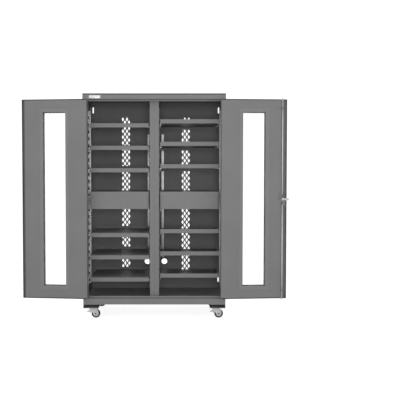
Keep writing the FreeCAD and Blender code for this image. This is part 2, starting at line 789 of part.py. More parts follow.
def door_liner(edge_band, latched):
    """Flat inner skin, level with the flanges, that stops short of the free edge and both ends."""
    zs = (DOOR_LOW + SHEET + LINER_END_GAP, DOOR_TOP - SHEET - LINER_END_GAP)
    sheet = block((DOOR_FREE_X + edge_band, DOOR_HINGE_X - SHEET), (DOOR_INNER - SHEET, DOOR_INNER), zs)
    wall = block((DOOR_FREE_X + edge_band, DOOR_FREE_X + edge_band + SHEET), (FRONT + SHEET, DOOR_INNER), zs)
    liner = fused([sheet, wall])
    if latched:
        notch_radius = BARREL_NUT_RADIUS + LINER_HOLE_GAP
        liner = liner.cut(rod(notch_radius, point(LATCH_X, FRONT, LATCH_Z), BACKWARDS, DOOR_THICKNESS))
    return liner.cut(window_hole(FRAME_WALL + LINER_HOLE_GAP, (DOOR_INNER - SHEET, DOOR_INNER)))


def window_pane():
    back = FRONT + SHEET + PANE_THICKNESS
    return window_hole(PANE_LAP, (FRONT + SHEET, back))


def window_frame():
    """Retaining frame: a flat border on the liner and a sleeve down to the pane."""
    seat = FRONT + SHEET + PANE_THICKNESS
    border = window_hole(FRAME_BORDER, (DOOR_INNER, DOOR_INNER + FRAME_FLANGE))
    sleeve = window_hole(FRAME_WALL, (seat, DOOR_INNER + FRAME_FLANGE))
    return fused([border, sleeve]).cut(window_hole(0, (seat, DOOR_INNER + FRAME_FLANGE)))


def hinge_leaf(leaf_x, middle, is_upper):
    """Half of a lift-off hinge: a leaf in the door gap with its knuckle, cut away beside the other."""
    low, high = middle - KNUCKLE_LENGTH - KNUCKLE_GAP / 2, middle + KNUCKLE_LENGTH + KNUCKLE_GAP / 2
    leaf = block(leaf_x, (HINGE_Y, FRONT + LEAF_REACH), (low, high))
    other = (low, middle + KNUCKLE_GAP) if is_upper else (middle - KNUCKLE_GAP, high)
    leaf = leaf.cut(block(leaf_x, (HINGE_Y, HINGE_Y + KNUCKLE_RADIUS + KNUCKLE_GAP), other))
    foot = high - KNUCKLE_LENGTH if is_upper else low
    return fused([leaf, rod(KNUCKLE_RADIUS, point(HINGE_X, HINGE_Y, foot), UP, KNUCKLE_LENGTH)])


def jamb_leaf(middle):
    """Lower half, whose knuckle holds the fixed pin that the door's knuckle drops over."""
    leaf = hinge_leaf((OPENING_HALF - LEAF_THICKNESS, OPENING_HALF), middle, False)
    foot = middle - KNUCKLE_GAP
    pin = rod(PIN_RADIUS, point(HINGE_X, HINGE_Y, foot), UP, KNUCKLE_LENGTH + 2 * KNUCKLE_GAP + PIN_PROUD)
    return fused([leaf, pin])


def door_leaf(middle):
    """Upper half, bored for the pin."""
    leaf = hinge_leaf((DOOR_HINGE_X, DOOR_HINGE_X + LEAF_THICKNESS), middle, True)
    bore = rod(PIN_RADIUS + PIN_CLEARANCE, point(HINGE_X, HINGE_Y, middle), UP, 2 * KNUCKLE_LENGTH)
    return leaf.cut(bore)


# Latch on the right door

def hexagon(radius, centre, front, back):
    corners = []
    for i in range(6):
        turn = math.radians(60 * i + 30)
        corners.append((centre[0] + radius * math.cos(turn), centre[1] + radius * math.sin(turn)))
    return depthwise_prism(corners, front, back)


def latch_housing():
    """Escutcheon and barrel that the spindle turns in, and the nut that clamps them to the skin."""
    start = point(LATCH_X, FRONT - ESCUTCHEON_THICKNESS, LATCH_Z)
    plate = rod(ESCUTCHEON_RADIUS, start, BACKWARDS, ESCUTCHEON_THICKNESS)
    barrel = rod(BARREL_RADIUS, start, BACKWARDS, DOOR_INNER - FRONT + ESCUTCHEON_THICKNESS)
    bore = rod(SPINDLE_RADIUS + SPINDLE_CLEARANCE, start, BACKWARDS, DOOR_THICKNESS + ESCUTCHEON_THICKNESS)
    body = fused([plate, barrel]).cut(bore)
    nut_front = FRONT + SHEET
    nut = hexagon(BARREL_NUT_RADIUS, (LATCH_X, LATCH_Z), nut_front, nut_front + BARREL_NUT_HEIGHT)
    inside = point(LATCH_X, nut_front, LATCH_Z)
    return [body, nut.cut(rod(BARREL_RADIUS + SPINDLE_CLEARANCE, inside, BACKWARDS, BARREL_NUT_HEIGHT))]


def latch_handle():
    """Lever, hub and spindle in one casting, with a recess for the lock plug."""
    hub_back = FRONT - ESCUTCHEON_THICKNESS - BARREL_CLEARANCE
    hub_front = hub_back - HUB_LENGTH
    hub = rod(HUB_RADIUS, point(LATCH_X, hub_front, LATCH_Z), BACKWARDS, HUB_LENGTH)
    lever = depthwise_prism(
        [
            (LATCH_X - LEVER_WIDTH / 2, LATCH_Z),
            (LATCH_X - LEVER_TIP_WIDTH / 2, LATCH_Z - LEVER_LENGTH),
            (LATCH_X + LEVER_TIP_WIDTH / 2, LATCH_Z - LEVER_LENGTH),
            (LATCH_X + LEVER_WIDTH / 2, LATCH_Z),
        ],
        hub_front,
        hub_front + LEVER_THICKNESS,
    )
    tip = [e for e in lever.Edges if e.BoundBox.ZMax < LATCH_Z - LEVER_LENGTH + 1 and e.BoundBox.YLength > 1]
    lever = lever.makeFillet(LEVER_TIP_WIDTH / 3, tip)
    spindle = rod(SPINDLE_RADIUS, point(LATCH_X, hub_back, LATCH_Z), BACKWARDS, CAM_FRONT - hub_back)
    recess = rod(
        LOCK_PLUG_RADIUS + SPINDLE_CLEARANCE,
        point(LATCH_X, hub_front, LATCH_Z),
        BACKWARDS,
        LOCK_PLUG_DEPTH,
    )
    return fused([hub, lever, spindle]).cut(recess)


def lock_plug():
    hub_front = FRONT - ESCUTCHEON_THICKNESS - BARREL_CLEARANCE - HUB_LENGTH
    start = point(LATCH_X, hub_front - LOCK_PLUG_PROUD, LATCH_Z)
    plug = rod(LOCK_PLUG_RADIUS, start, BACKWARDS, LOCK_PLUG_DEPTH + LOCK_PLUG_PROUD - SPINDLE_CLEARANCE)
    keyway = block(
        (LATCH_X - 1, LATCH_X + 1),
        (start.y, start.y + LOCK_PLUG_DEPTH / 2),
        (LATCH_Z - LOCK_PLUG_RADIUS / 2, LATCH_Z + LOCK_PLUG_RADIUS / 2),
    )
    return plug.cut(keyway)


def latch_cam():
    """Cam plate with the tongue that passes behind the other door, and a pin for each rod."""
    plate = hexagon(CAM_RADIUS, (LATCH_X, LATCH_Z), CAM_FRONT, CAM_BACK)
    tip_x = DOOR_FREE_X - TONGUE_BEYOND
    tongue = block(
        (tip_x, LATCH_X),
        (CAM_FRONT, CAM_BACK),
        (LATCH_Z - TONGUE_HEIGHT / 2, LATCH_Z + TONGUE_HEIGHT / 2),
    )
    tip = [e for e in tongue.Edges if e.BoundBox.XMax < tip_x + 1 and e.BoundBox.YLength > 1]
    tongue = tongue.makeFillet(TONGUE_HEIGHT / 4, tip)
    pins = [
        rod(
            CAM_PIN_RADIUS,
            point(LATCH_X + side * PIN_SIDE, CAM_BACK, LATCH_Z + side * PIN_SIDE),
            BACKWARDS,
            CAM_PIN_REACH,
        )
        for side in (-1, 1)
    ]
    return fused([plate, tongue] + pins)


def latch_rod():
    """Upper rod: a round bar and a flat foot whose slot rides on the cam's pin."""
    pin_x, pin_z = LATCH_X + PIN_SIDE, LATCH_Z + PIN_SIDE
    right = LATCH_X + CAM_PIN_ARM + CAM_PIN_RADIUS + SLOT_CLEARANCE + FOOT_MARGIN
    left = LATCH_X + PIN_SIDE - CAM_PIN_RADIUS - SLOT_CLEARANCE - FOOT_MARGIN
    half_slot = CAM_PIN_RADIUS + SLOT_CLEARANCE
    low = pin_z - half_slot - FOOT_MARGIN / 2
    high = pin_z + FOOT_RISE
    shoulder = high - 2 * FOOT_MARGIN
    foot = depthwise_prism(
        [
            (left, low),
            (right, low),
            (right, high),
            (LATCH_X - ROD_RADIUS, high),
            (LATCH_X - ROD_RADIUS, shoulder),
            (left, shoulder),
        ],
        FOOT_FRONT,
        FOOT_FRONT + FOOT_THICKNESS,
    )
    slot = block(
        (left + FOOT_MARGIN, right - FOOT_MARGIN),
        (FOOT_FRONT, FOOT_FRONT + FOOT_THICKNESS),
        (pin_z - half_slot, pin_z + half_slot),
    )
    bar = rod(ROD_RADIUS, point(LATCH_X, ROD_Y, shoulder), UP, DOOR_TOP + ROD_BEYOND - shoulder)
    return fused([foot, bar]).cut(slot)


def turned_half_about_latch(shape):
    turned = shape.copy()
    turned.rotate(point(LATCH_X, 0, LATCH_Z), BACKWARDS, 180)
    return turned


def rod_guide(z):
    """Guide block round a rod, with a foot on the liner."""
    half = ROD_RADIUS + GUIDE_CLEARANCE + GUIDE_WALL
    zs = (z - GUIDE_HEIGHT / 2, z + GUIDE_HEIGHT / 2)
    body = block((LATCH_X - half, LATCH_X + half), (DOOR_INNER, ROD_Y + half), zs)
    foot = block(
        (LATCH_X, LATCH_X + half + GUIDE_FOOT),
        (DOOR_INNER, DOOR_INNER + GUIDE_FOOT_THICKNESS),
        zs,
    )
    hole = rod(ROD_RADIUS + GUIDE_CLEARANCE, point(LATCH_X, ROD_Y, zs[0]), UP, GUIDE_HEIGHT)
    return fused([body, foot]).cut(hole)


# Casters, drawn for the front left corner

def caster_places():
    return [
        ("front_left", -CASTER_X, -CASTER_Y),
        ("front_right", CASTER_X, -CASTER_Y),
        ("rear_left", -CASTER_X, CASTER_Y),
        ("rear_right", CASTER_X, CASTER_Y),
    ]


def crown_top():
    return CASTER_HEIGHT - PLATE_THICKNESS - RACE_HEIGHT - RACE_GAP


def bolt_places(x, y):
    return [
        (x + i * BOLT_SPACING_X / 2, y + j * BOLT_SPACING_Y / 2)
        for i in (-1, 1)
        for j in (-1, 1)
    ]


def caster_plate(x, y):
    """Mounting plate with the swivel race pressed below it."""
    low = CASTER_HEIGHT - PLATE_THICKNESS
    plate = block(
        (x - PLATE_LENGTH / 2, x + PLATE_LENGTH / 2),
        (y - PLATE_WIDTH / 2, y + PLATE_WIDTH / 2),
        (low, CASTER_HEIGHT),
    )
    foot = point(x, y, low - RACE_HEIGHT)
    race = rod(RACE_RADIUS, foot, UP, RACE_HEIGHT)
    bore = rod(KINGPIN_RADIUS + KINGPIN_CLEARANCE, foot, UP, RACE_HEIGHT + PLATE_THICKNESS)
    return fused([plate, race]).cut(bore)


def caster_bolt(x, y):
    low = CASTER_HEIGHT - PLATE_THICKNESS - BOLT_HEAD_HEIGHT
    turns = [math.radians(60 * i) for i in range(6)]
    corners = [(x + BOLT_HEAD_RADIUS * math.cos(a), y + BOLT_HEAD_RADIUS * math.sin(a)) for a in turns]
    return upright_prism(corners, low, low + BOLT_HEAD_HEIGHT)


def fork():
    """Strap bent into a crown and two raked legs, the kingpin above and the axle bolt below."""
    top = crown_top()
    leg_inner = WHEEL_WIDTH / 2 + FORK_SIDE_GAP
    span = 2 * (leg_inner + FORK_WALL)
    crown = block((-CROWN_REACH, CROWN_REACH), (-span / 2, span / 2), (top - FORK_WALL, top))
    kingpin = rod(KINGPIN_RADIUS, point(0, 0, top), UP, CASTER_HEIGHT - top - RACE_GAP)
    axle = (CASTER_TRAIL, WHEEL_RADIUS)
    outline = [
        (-CROWN_REACH, top - FORK_WALL),
        (axle[0] - LEG_END, axle[1]),
        (axle[0] - LEG_END / 2, axle[1] - LEG_END * math.sin(math.radians(60))),
        (axle[0] + LEG_END / 2, axle[1] - LEG_END * math.sin(math.radians(60))),
        (axle[0] + LEG_END, axle[1]),
        (axle[0] + LEG_END, axle[1] + LEG_END),
        (CROWN_REACH, top - FORK_WALL),
    ]
    legs = [
        depthwise_prism(outline, side * leg_inner, side * (leg_inner + FORK_WALL))
        for side in (-1, 1)
    ]
    bolt = [rod(AXLE_RADIUS, point(axle[0], -leg_inner, axle[1]), BACKWARDS, 2 * leg_inner)]
    for face in (-span / 2 - AXLE_HEAD_HEIGHT, span / 2):
        bolt.append(hexagon(AXLE_HEAD_RADIUS, axle, face, face + AXLE_HEAD_HEIGHT))
    return fused([crown, kingpin] + legs + bolt)


def brake_mount():
    """Ears on the legs of a braked fork and the pin between them that the pedal turns on."""
    leg_inner = WHEEL_WIDTH / 2 + FORK_SIDE_GAP
    roof = crown_top() - FORK_WALL
    outline = [
        (PEDAL_PIVOT_X - EAR_MARGIN, roof),
        (PEDAL_PIVOT_X - EAR_MARGIN, PEDAL_PIVOT_Z - EAR_MARGIN / 2),
        (PEDAL_PIVOT_X - EAR_MARGIN / 2, PEDAL_PIVOT_Z - EAR_MARGIN),
        (PEDAL_PIVOT_X + EAR_MARGIN, PEDAL_PIVOT_Z - EAR_MARGIN),
        (0, PEDAL_PIVOT_Z),
        (0, roof),
    ]
    ears = [
        depthwise_prism(outline, side * leg_inner, side * (leg_inner + FORK_WALL))
        for side in (-1, 1)
    ]
    start = point(PEDAL_PIVOT_X, -leg_inner, PEDAL_PIVOT_Z)
    return ears + [rod(PEDAL_PIN_RADIUS, start, BACKWARDS, 2 * leg_inner)]


def wheel():
    """Wheel with its tread moulded on, bored for the axle."""
    start = point(CASTER_TRAIL, -WHEEL_WIDTH / 2, WHEEL_RADIUS)
    disc = rod(WHEEL_RADIUS, start, BACKWARDS, WHEEL_WIDTH)
    return disc.cut(rod(AXLE_RADIUS + AXLE_CLEARANCE, start, BACKWARDS, WHEEL_WIDTH))


def brake_pedal():
    """Foot tab on a cross tube, away from the wheel's trail, with a heel that brakes the tyre."""
    half = PEDAL_WIDTH / 2
    start = point(PEDAL_PIVOT_X, -half, PEDAL_PIVOT_Z)
    barrel = rod(PEDAL_PIN_RADIUS + PEDAL_BARREL_WALL, start, BACKWARDS, PEDAL_WIDTH)
    bore = rod(PEDAL_PIN_RADIUS + PEDAL_PIN_CLEARANCE, start, BACKWARDS, PEDAL_WIDTH)
    tab = block(
        (PEDAL_PIVOT_X - PEDAL_LENGTH, PEDAL_PIVOT_X),
        (-half, half),
        (PEDAL_PIVOT_Z - PEDAL_THICKNESS / 2, PEDAL_PIVOT_Z + PEDAL_THICKNESS / 2),
    )
    tip = [e for e in tab.Edges if e.BoundBox.XMax < PEDAL_PIVOT_X - PEDAL_LENGTH + 1 and e.BoundBox.ZLength > 1]
    tab = tab.makeFillet(PEDAL_WIDTH / 4, tip)
    tab.rotate(point(PEDAL_PIVOT_X, 0, PEDAL_PIVOT_Z), BACKWARDS, -PEDAL_SLOPE)
    heel = block(
        (PEDAL_PIVOT_X - PEDAL_HEEL_WIDTH / 2, PEDAL_PIVOT_X + PEDAL_HEEL_WIDTH / 2),
        (-half, half),
        (PEDAL_PIVOT_Z - PEDAL_HEEL, PEDAL_PIVOT_Z),
    )
    return fused([tab, barrel, heel]).cut(bore)


def moved(shape, x, y):
    copy = shape.copy()
    copy.translate(point(x, y, 0))
    return copy


# Saving the pieces

def save_body():
    side = left_side_panel()
    save("left_side_panel", side)
    save("right_side_panel", mirrored(side))
    save("back_panel", back_panel())
    save("top_panel", top_panel())
    save("header_rail", header_rail())
    save("sill_rail", sill_rail())
    save("base_pan", base_pan())
    post = divider()
    save("centre_dividers", post, mirrored(post))
    runner = left_runner()
    save("base_runners", runner, mirrored(runner))


def save_shelves():
    for number, height in enumerate(bank_heights(), 1):
        upward, downward = shelf(True), shelf(False)
        upward.translate(point(0, 0, height))
        downward.translate(point(0, 0, height))
        save(f"right_shelf_{number}", upward)
        save(f"left_shelf_{number}", mirrored(downward))
    fixed, cover = centre_shelf(), raceway_cover()
    save("centre_shelves", mirrored(fixed), fixed)
    save("raceway_covers", mirrored(cover), cover)
    save("shelf_uprights", *uprights())
    save("shelf_clips", *shelf_clips())


def save_power():
    strip, switch, inserts = power_strip(), strip_switch(), outlets()
    save("power_strips", mirrored(strip), strip)
    save("strip_outlets", *(inserts + [mirrored(insert) for insert in inserts]))
    save("right_strip_switch", switch)
    save("left_strip_switch", mirrored(switch))
    save("cable_grommets", grommet(-1), grommet(1))


def save_doors():
    doors = (
        ("right", True, RIGHT_EDGE_CHANNEL, RIGHT_DOOR_OPEN_ANGLE),
        ("left", False, LEFT_EDGE_REBATE, LEFT_DOOR_OPEN_ANGLE),
    )
    for name, latched, band, angle in doors:
        pieces = {
            "door_panel": [door_pan(latched)],
            "door_liner": [door_liner(band, latched)],
            "window": [window_pane()],
            "window_frame": [window_frame()],
            "door_hinge_leaves": [door_leaf(z) for z in HINGE_ZS],
        }
        for piece, shapes in pieces.items():
            opened = [swung_open(shape, angle) for shape in shapes]
            if name == "left":
                opened = [mirrored(shape) for shape in opened]
            save(f"{name}_{piece}", *opened)
    jamb = [jamb_leaf(z) for z in HINGE_ZS]
    save("jamb_hinges", *(jamb + [mirrored(shape) for shape in jamb]))


def save_latch():
    save("latch_housing", *[swung_open(shape) for shape in latch_housing()])
    save("latch_handle", swung_open(latch_handle()))
    save("lock_plug", swung_open(lock_plug()))
    save("latch_cam", swung_open(latch_cam()))
    upper = latch_rod()
    save("upper_rod", swung_open(upper))
    save("lower_rod", swung_open(turned_half_about_latch(upper)))
    guides = [rod_guide(DOOR_TOP - GUIDE_INSET), rod_guide(DOOR_LOW + GUIDE_INSET)]
    save("rod_guides", *[swung_open(guide) for guide in guides])


def save_casters():
    places = caster_places()
    save("caster_plates", *[caster_plate(x, y) for name, x, y in places])
    bolts = [caster_bolt(*spot) for name, x, y in places for spot in bolt_places(x, y)]
    save("caster_bolts", *bolts)
    plain, roller, pedal = fork(), wheel(), brake_pedal()
    for name, x, y in places:
        braked = name.startswith("front")
        shape = fused([plain] + brake_mount()) if braked else plain
        save(f"{name}_fork", moved(shape, x, y))
        save(f"{name}_wheel", moved(roller, x, y))
        if braked:
            save(f"{name}_brake_pedal", moved(pedal, x, y))


def main():
    os.makedirs("parts", exist_ok=True)
    save_body()
    save_shelves()
    save_power()
    save_doors()
    save_latch()
    save_casters()


main()
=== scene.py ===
import json
import math

import bmesh
import bpy
from bpy.props import FloatProperty, FloatVectorProperty, IntProperty, PointerProperty
from bpy.types import Operator, Panel, PropertyGroup
from mathutils import Matrix, Vector

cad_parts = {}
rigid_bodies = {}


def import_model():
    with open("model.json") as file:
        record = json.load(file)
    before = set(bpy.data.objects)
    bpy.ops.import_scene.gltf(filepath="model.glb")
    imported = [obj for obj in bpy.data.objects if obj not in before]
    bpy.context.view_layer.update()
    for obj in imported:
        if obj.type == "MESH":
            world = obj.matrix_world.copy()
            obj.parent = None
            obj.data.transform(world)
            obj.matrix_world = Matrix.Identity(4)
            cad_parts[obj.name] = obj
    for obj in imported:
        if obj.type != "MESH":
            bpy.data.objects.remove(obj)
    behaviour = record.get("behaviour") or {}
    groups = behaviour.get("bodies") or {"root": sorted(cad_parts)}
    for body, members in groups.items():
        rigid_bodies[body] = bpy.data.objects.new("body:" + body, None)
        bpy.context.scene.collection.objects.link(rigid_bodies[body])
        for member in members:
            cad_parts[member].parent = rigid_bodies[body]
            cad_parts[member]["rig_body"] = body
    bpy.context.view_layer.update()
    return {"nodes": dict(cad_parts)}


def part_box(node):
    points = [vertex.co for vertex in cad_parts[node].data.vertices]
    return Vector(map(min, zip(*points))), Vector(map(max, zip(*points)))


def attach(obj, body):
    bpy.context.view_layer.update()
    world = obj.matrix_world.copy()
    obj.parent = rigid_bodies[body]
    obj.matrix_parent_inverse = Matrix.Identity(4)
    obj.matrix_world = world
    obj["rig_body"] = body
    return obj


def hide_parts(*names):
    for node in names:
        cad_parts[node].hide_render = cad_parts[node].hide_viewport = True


bl_info = {
    "name": "Charging Cabinet",
    "version": (1, 0, 0),
    "blender": (4, 5, 0),
    "location": "3D View > Sidebar > Cabinet",
    "description": "Dresses a two-bay charging cabinet in paint, plating and rubber, and sets its studio",
    "category": "Object",
}

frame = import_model()
FRONT_CASTERS = ("front_left", "front_right")
REAR_CASTERS = ("rear_left", "rear_right")
SIDES = ("left", "right")
BANK = range(1, 7)
MM = 0.001


# Settings that a user would change

def tone(name, description, default):
    return FloatVectorProperty(
        name=name, description=description, subtype="COLOR", size=3, min=0, max=1, default=default,
    )


def share(name, description, default, low=0, high=1):
    return FloatProperty(
        name=name, description=description, subtype="FACTOR", min=low, max=high, default=default,
    )


def length(name, description, default, low=0):
    return FloatProperty(name=name, description=description, unit="LENGTH", min=low, default=default)


def plain(name, description, default):
    return FloatProperty(name=name, description=description, default=default)


class CabinetFinish(PropertyGroup):
    """Colours and surface of the paint, plating, plastic and rubber."""

    paint: tone("Cabinet paint", "Powder coat of the body and the doors", (0.222, 0.222, 0.223))
    # The lid's darker coat is painted shade: it stands in for the dark line along the lid's front edge
    cap_paint: tone("Lid paint", "Powder coat of the lid, which is a shade darker", (0.08, 0.08, 0.081))
    # The frames' lighter coat is painted light: it stands in for the light the raised frames catch over
    # the door
    frame_paint: tone(
        "Window frame paint", "Powder coat of the frames round the windows", (0.246, 0.246, 0.247),
    )
    # The dark coat is painted shade: it stands in for the shadow in and round the runners, under the
    # plates and by the post
    runner_paint: tone(
        "Runner paint", "Dark coat of the base runners and the plates under them", (0.11, 0.11, 0.111),
    )
    # The lighter coat inside the runners is painted light: it lifts the shade inside their hollows
    runner_inside: tone("Runner inside", "Lighter coat inside the base runners", (0.4, 0.4, 0.402))
    # The pan's lighter coat is painted light: it lifts the shade on the floor of the bays
    pan_paint: tone("Base pan paint", "Lighter coat of the pan under the two bays", (0.4, 0.4, 0.402))
    zinc: tone("Zinc plating", "Plating of clips, bolts and the latch's barrel", (0.52, 0.52, 0.53))
    # The brighter plating of the wall uprights is a painted highlight over the plain zinc
    wall_zinc: tone("Upright plating", "Bright plating of the uprights at the walls", (0.74, 0.74, 0.75))
    fork_zinc: tone("Fork plating", "Dull plating of the caster forks", (0.5, 0.5, 0.505))
    rod_steel: tone("Rod steel", "Bare bars of the rods and the cam's tongue", (0.66, 0.66, 0.67))
    axle_steel: tone("Axle steel", "Dark heads of the wheel axles", (0.15, 0.15, 0.152))
    lever_metal: tone("Lever metal", "Bright plating of the latch lever", (0.7, 0.7, 0.71))
    lock_brass: tone("Lock brass", "Plug of the lock", (0.62, 0.5, 0.26))
    strip_shell: tone("Strip housing", "Satin housing of the power strips", (0.31, 0.31, 0.316))
    black_plastic: tone(
        "Black plastic", "Outlets, rocker switches and brake tabs", (0.012, 0.012, 0.013),
    )
    hub_plastic: tone("Hub plastic", "Moulded wheel hubs", (0.62, 0.62, 0.625))
    rubber: tone("Rubber", "Tyres and cable grommets", (0.008, 0.008, 0.008))
    plate: tone("Plate", "Bare plate on the header", (0.56, 0.56, 0.53))
    paint_roughness: share("Paint roughness", "Roughness of the powder coat", 0.5)


class CabinetSizes(PropertyGroup):
    """Sizes of the small forms that the studio model adds to the frame."""

    fold_radius: length("Fold radius", "Outer radius where sheet is folded", 0.003)
    edge_radius: length("Edge radius", "Rounding of cut edges and small parts", 0.0005)
    casting_radius: length("Casting radius", "Rounding of the latch lever and the caster forks", 0.001)
    runner_width: length("Runner width", "Width of each base runner at its foot", 0.13, low=0.02)
    slot_pitch: length("Slot pitch", "Spacing of the slots in the shelf uprights", 0.032, low=0.01)
    slot_height: length("Slot height", "Height of each slot in the shelf uprights", 0.018, low=0.002)
    slot_width: length("Slot width", "Width of each slot in the shelf uprights", 0.008, low=0.002)
    notch_share: share(
        "Notch share", "Share of an upright's depth that its notches cut away", 0.55, low=0.1, high=0.9,
    )
    cam_plate: length(
        "Cam plate width", "Painted width of the cam, from its edge to the bare tongue", 0.019, low=0.01,
    )
    tongue_height: length("Tongue height", "Height of the cam's bare tongue", 0.021, low=0.005)
    rod_foot: length(
        "Rod foot reach", "How far a rod's painted foot reaches from the lever's axis", 0.056, low=0.01,
    )
    rim_depth: length("Tyre depth", "Thickness of each tyre, from its tread to the hub", 0.013, low=0.002)
    fork_reach: length(
        "Fork reach", "From the side of a wheel to the outside of its fork", 0.0052, low=0.001,
    )
    tread_crown: length("Tread crown", "How far the tread rounds off towards its edges", 0.003)
    hub_dish: length("Hub dish", "Depth of the dished face of each hub", 0.004)
    wheel_steps: IntProperty(name="Wheel steps", description="Steps round a wheel", min=16, default=72)
    plate_inset: length("Plate inset", "From the header's left end to the plate", 0.012)
    plate_width: length("Plate width", "Width of the bare plate on the header", 0.096, low=0.01)
    plate_height: length("Plate height", "Height of the bare plate on the header", 0.026, low=0.005)


class CabinetStudio(PropertyGroup):
    """Camera, lamps and backdrop."""

    camera_distance: length("Camera distance", "From the lens to the front of the body", 5.5, low=1)
    camera_side: length("Camera side step", "How far the lens stands to the right", 0.1432, low=-10)
    camera_height: length("Camera height", "Height of the lens over the floor", 1.2566)
    camera_pitch: FloatProperty(
        name="Camera pitch", description="How far the camera looks down",
        subtype="ANGLE", default=math.radians(2.0),
    )
    lens: plain("Lens", "Focal length in millimetres", 55.87)
    shift_x: plain("Shift across", "Sideways shift of the image", 0.0888)
    shift_y: plain("Shift up", "Upward shift of the image", -0.0306)
    key_power: plain("Key power", "Power of the softbox at the left", 30.0)
    fill_power: plain("Fill power", "Power of the softbox at the right", 25.0)
    top_power: plain("Top power", "Power of the overhead softbox", 13.0)
    front_power: plain("Front power", "Power of the lamp by the camera", 66.0)
    backdrop: plain("Backdrop", "Brightness of the surroundings in view", 1.12)
    ambient: plain("Ambient", "Strength of the white surroundings as a lamp", 0.34)
    floor_glow: plain("Floor glow", "Lift that keeps the floor white", 0.82)


def finish():
    return bpy.context.scene.cabinet_finish


def sizes():
    return bpy.context.scene.cabinet_sizes


def studio():
    return bpy.context.scene.cabinet_studio


# Materials

class Shader:
    """A material's node tree with its Principled shader and object coordinates."""

    # The parts of the noise's range that are used, since it seldom comes near 0 or 1
    noise_spread = (0.3, 0.7)
    tint_spread = (0.35, 0.65)

    def __init__(self, name, colour, roughness, metallic=0.0):
        self.material = bpy.data.materials.new(name)
        self.material.use_nodes = True
        self.nodes = self.material.node_tree.nodes
        self.links = self.material.node_tree.links
        self.skin = self.nodes["Principled BSDF"]
        self.skin.inputs["Base Color"].default_value = (*colour, 1)
        self.skin.inputs["Roughness"].default_value = roughness
        self.skin.inputs["Metallic"].default_value = metallic
        self.place = self.nodes.new("ShaderNodeTexCoord").outputs["Object"]
        self.colour = colour

    def noise(self, scale, detail, stretch=None):
        texture = self.nodes.new("ShaderNodeTexNoise")
        texture.inputs["Scale"].default_value = scale
        texture.inputs["Detail"].default_value = detail
        start = self.place
        if stretch is not None:
            mapping = self.nodes.new("ShaderNodeMapping")
            mapping.inputs["Scale"].default_value = stretch
            self.links.new(start, mapping.inputs["Vector"])
            start = mapping.outputs["Vector"]
        self.links.new(start, texture.inputs["Vector"])
        return texture.outputs["Fac"]

    def tint(self, value, darkest, lightest):
        """Varies the colour between two multiples of itself."""
        ramp = self.nodes.new("ShaderNodeValToRGB")
        for stop, position, factor in zip(ramp.color_ramp.elements, self.tint_spread, (darkest, lightest)):
            stop.position = position
            stop.color = (*[min(1, channel * factor) for channel in self.colour], 1)
        self.links.new(value, ramp.inputs["Fac"])
        self.links.new(ramp.outputs["Color"], self.skin.inputs["Base Color"])

    def roughen(self, value, low, high):
        """Varies the roughness between two values."""
        remap = self.nodes.new("ShaderNodeMapRange")
        remap.inputs["From Min"].default_value = self.noise_spread[0]
        remap.inputs["From Max"].default_value = self.noise_spread[1]
        remap.inputs["To Min"].default_value = low
        remap.inputs["To Max"].default_value = high
        self.links.new(value, remap.inputs["Value"])
        self.links.new(remap.outputs["Result"], self.skin.inputs["Roughness"])

    def bump(self, value, strength, distance):
        relief = self.nodes.new("ShaderNodeBump")
        relief.inputs["Strength"].default_value = strength
        relief.inputs["Distance"].default_value = distance
        self.links.new(value, relief.inputs["Height"])
        self.links.new(relief.outputs["Normal"], self.skin.inputs["Normal"])


def powder_coat(name, colour):
    """Baked powder coat: a fine orange peel, and a tone that drifts a little over the sheet."""
    roughness = finish().paint_roughness
    coat = Shader(name, colour, roughness)
    coat.tint(coat.noise(scale=3.2, detail=3.0), darkest=0.96, lightest=1.04)
    coat.roughen(coat.noise(scale=46.0, detail=3.0), roughness - 0.05, roughness + 0.06)
    coat.bump(coat.noise(scale=720.0, detail=1.5), strength=0.22, distance=0.4 * MM)
    return coat.material


def zinc_plate(name, colour, roughness=0.34, metallic=0.85):
    """Zinc with faint drawing lines along the metal and cloudy patches."""
    plating = Shader(name, colour, roughness, metallic)
    plating.tint(plating.noise(scale=38.0, detail=4.0), darkest=0.88, lightest=1.06)
    plating.roughen(plating.noise(scale=90.0, detail=3.0), roughness - 0.08, roughness + 0.12)
    lines = plating.noise(scale=160.0, detail=2.0, stretch=(1.0, 1.0, 0.08))
    plating.bump(lines, strength=0.12, distance=0.3 * MM)
    return plating.material


def satin_metal(name, colour, roughness, metallic):
    """An even satin face with fine lines along the extrusion."""
    satin = Shader(name, colour, roughness, metallic)
    satin.tint(satin.noise(scale=12.0, detail=2.0), darkest=0.98, lightest=1.02)
    satin.roughen(satin.noise(scale=60.0, detail=2.0), roughness - 0.03, roughness + 0.03)
    lines = satin.noise(scale=420.0, detail=2.0, stretch=(1.0, 1.0, 0.03))
    satin.bump(lines, strength=0.05, distance=0.2 * MM)
    return satin.material


def moulded(name, colour, roughness, grain=900.0):
    """Moulded plastic or rubber with a fine spark-eroded grain."""
    plastic = Shader(name, colour, roughness)
    plastic.skin.inputs["Specular IOR Level"].default_value = 0.3
    plastic.tint(plastic.noise(scale=22.0, detail=2.0), darkest=0.9, lightest=1.1)
    plastic.roughen(plastic.noise(scale=60.0, detail=2.0), roughness - 0.06, roughness + 0.08)
    plastic.bump(plastic.noise(scale=grain, detail=1.0), strength=0.25, distance=0.3 * MM)
    return plastic.material


def clear_pane(name):
    """Polished clear glazing with a trace of dust in its roughness."""
    pane = Shader(name, colour=(1.0, 1.0, 1.0), roughness=0.02)
    pane.skin.inputs["Transmission Weight"].default_value = 1.0
    pane.skin.inputs["IOR"].default_value = 1.45
    pane.roughen(pane.noise(scale=14.0, detail=4.0), low=0.0, high=0.008)
    return pane.material


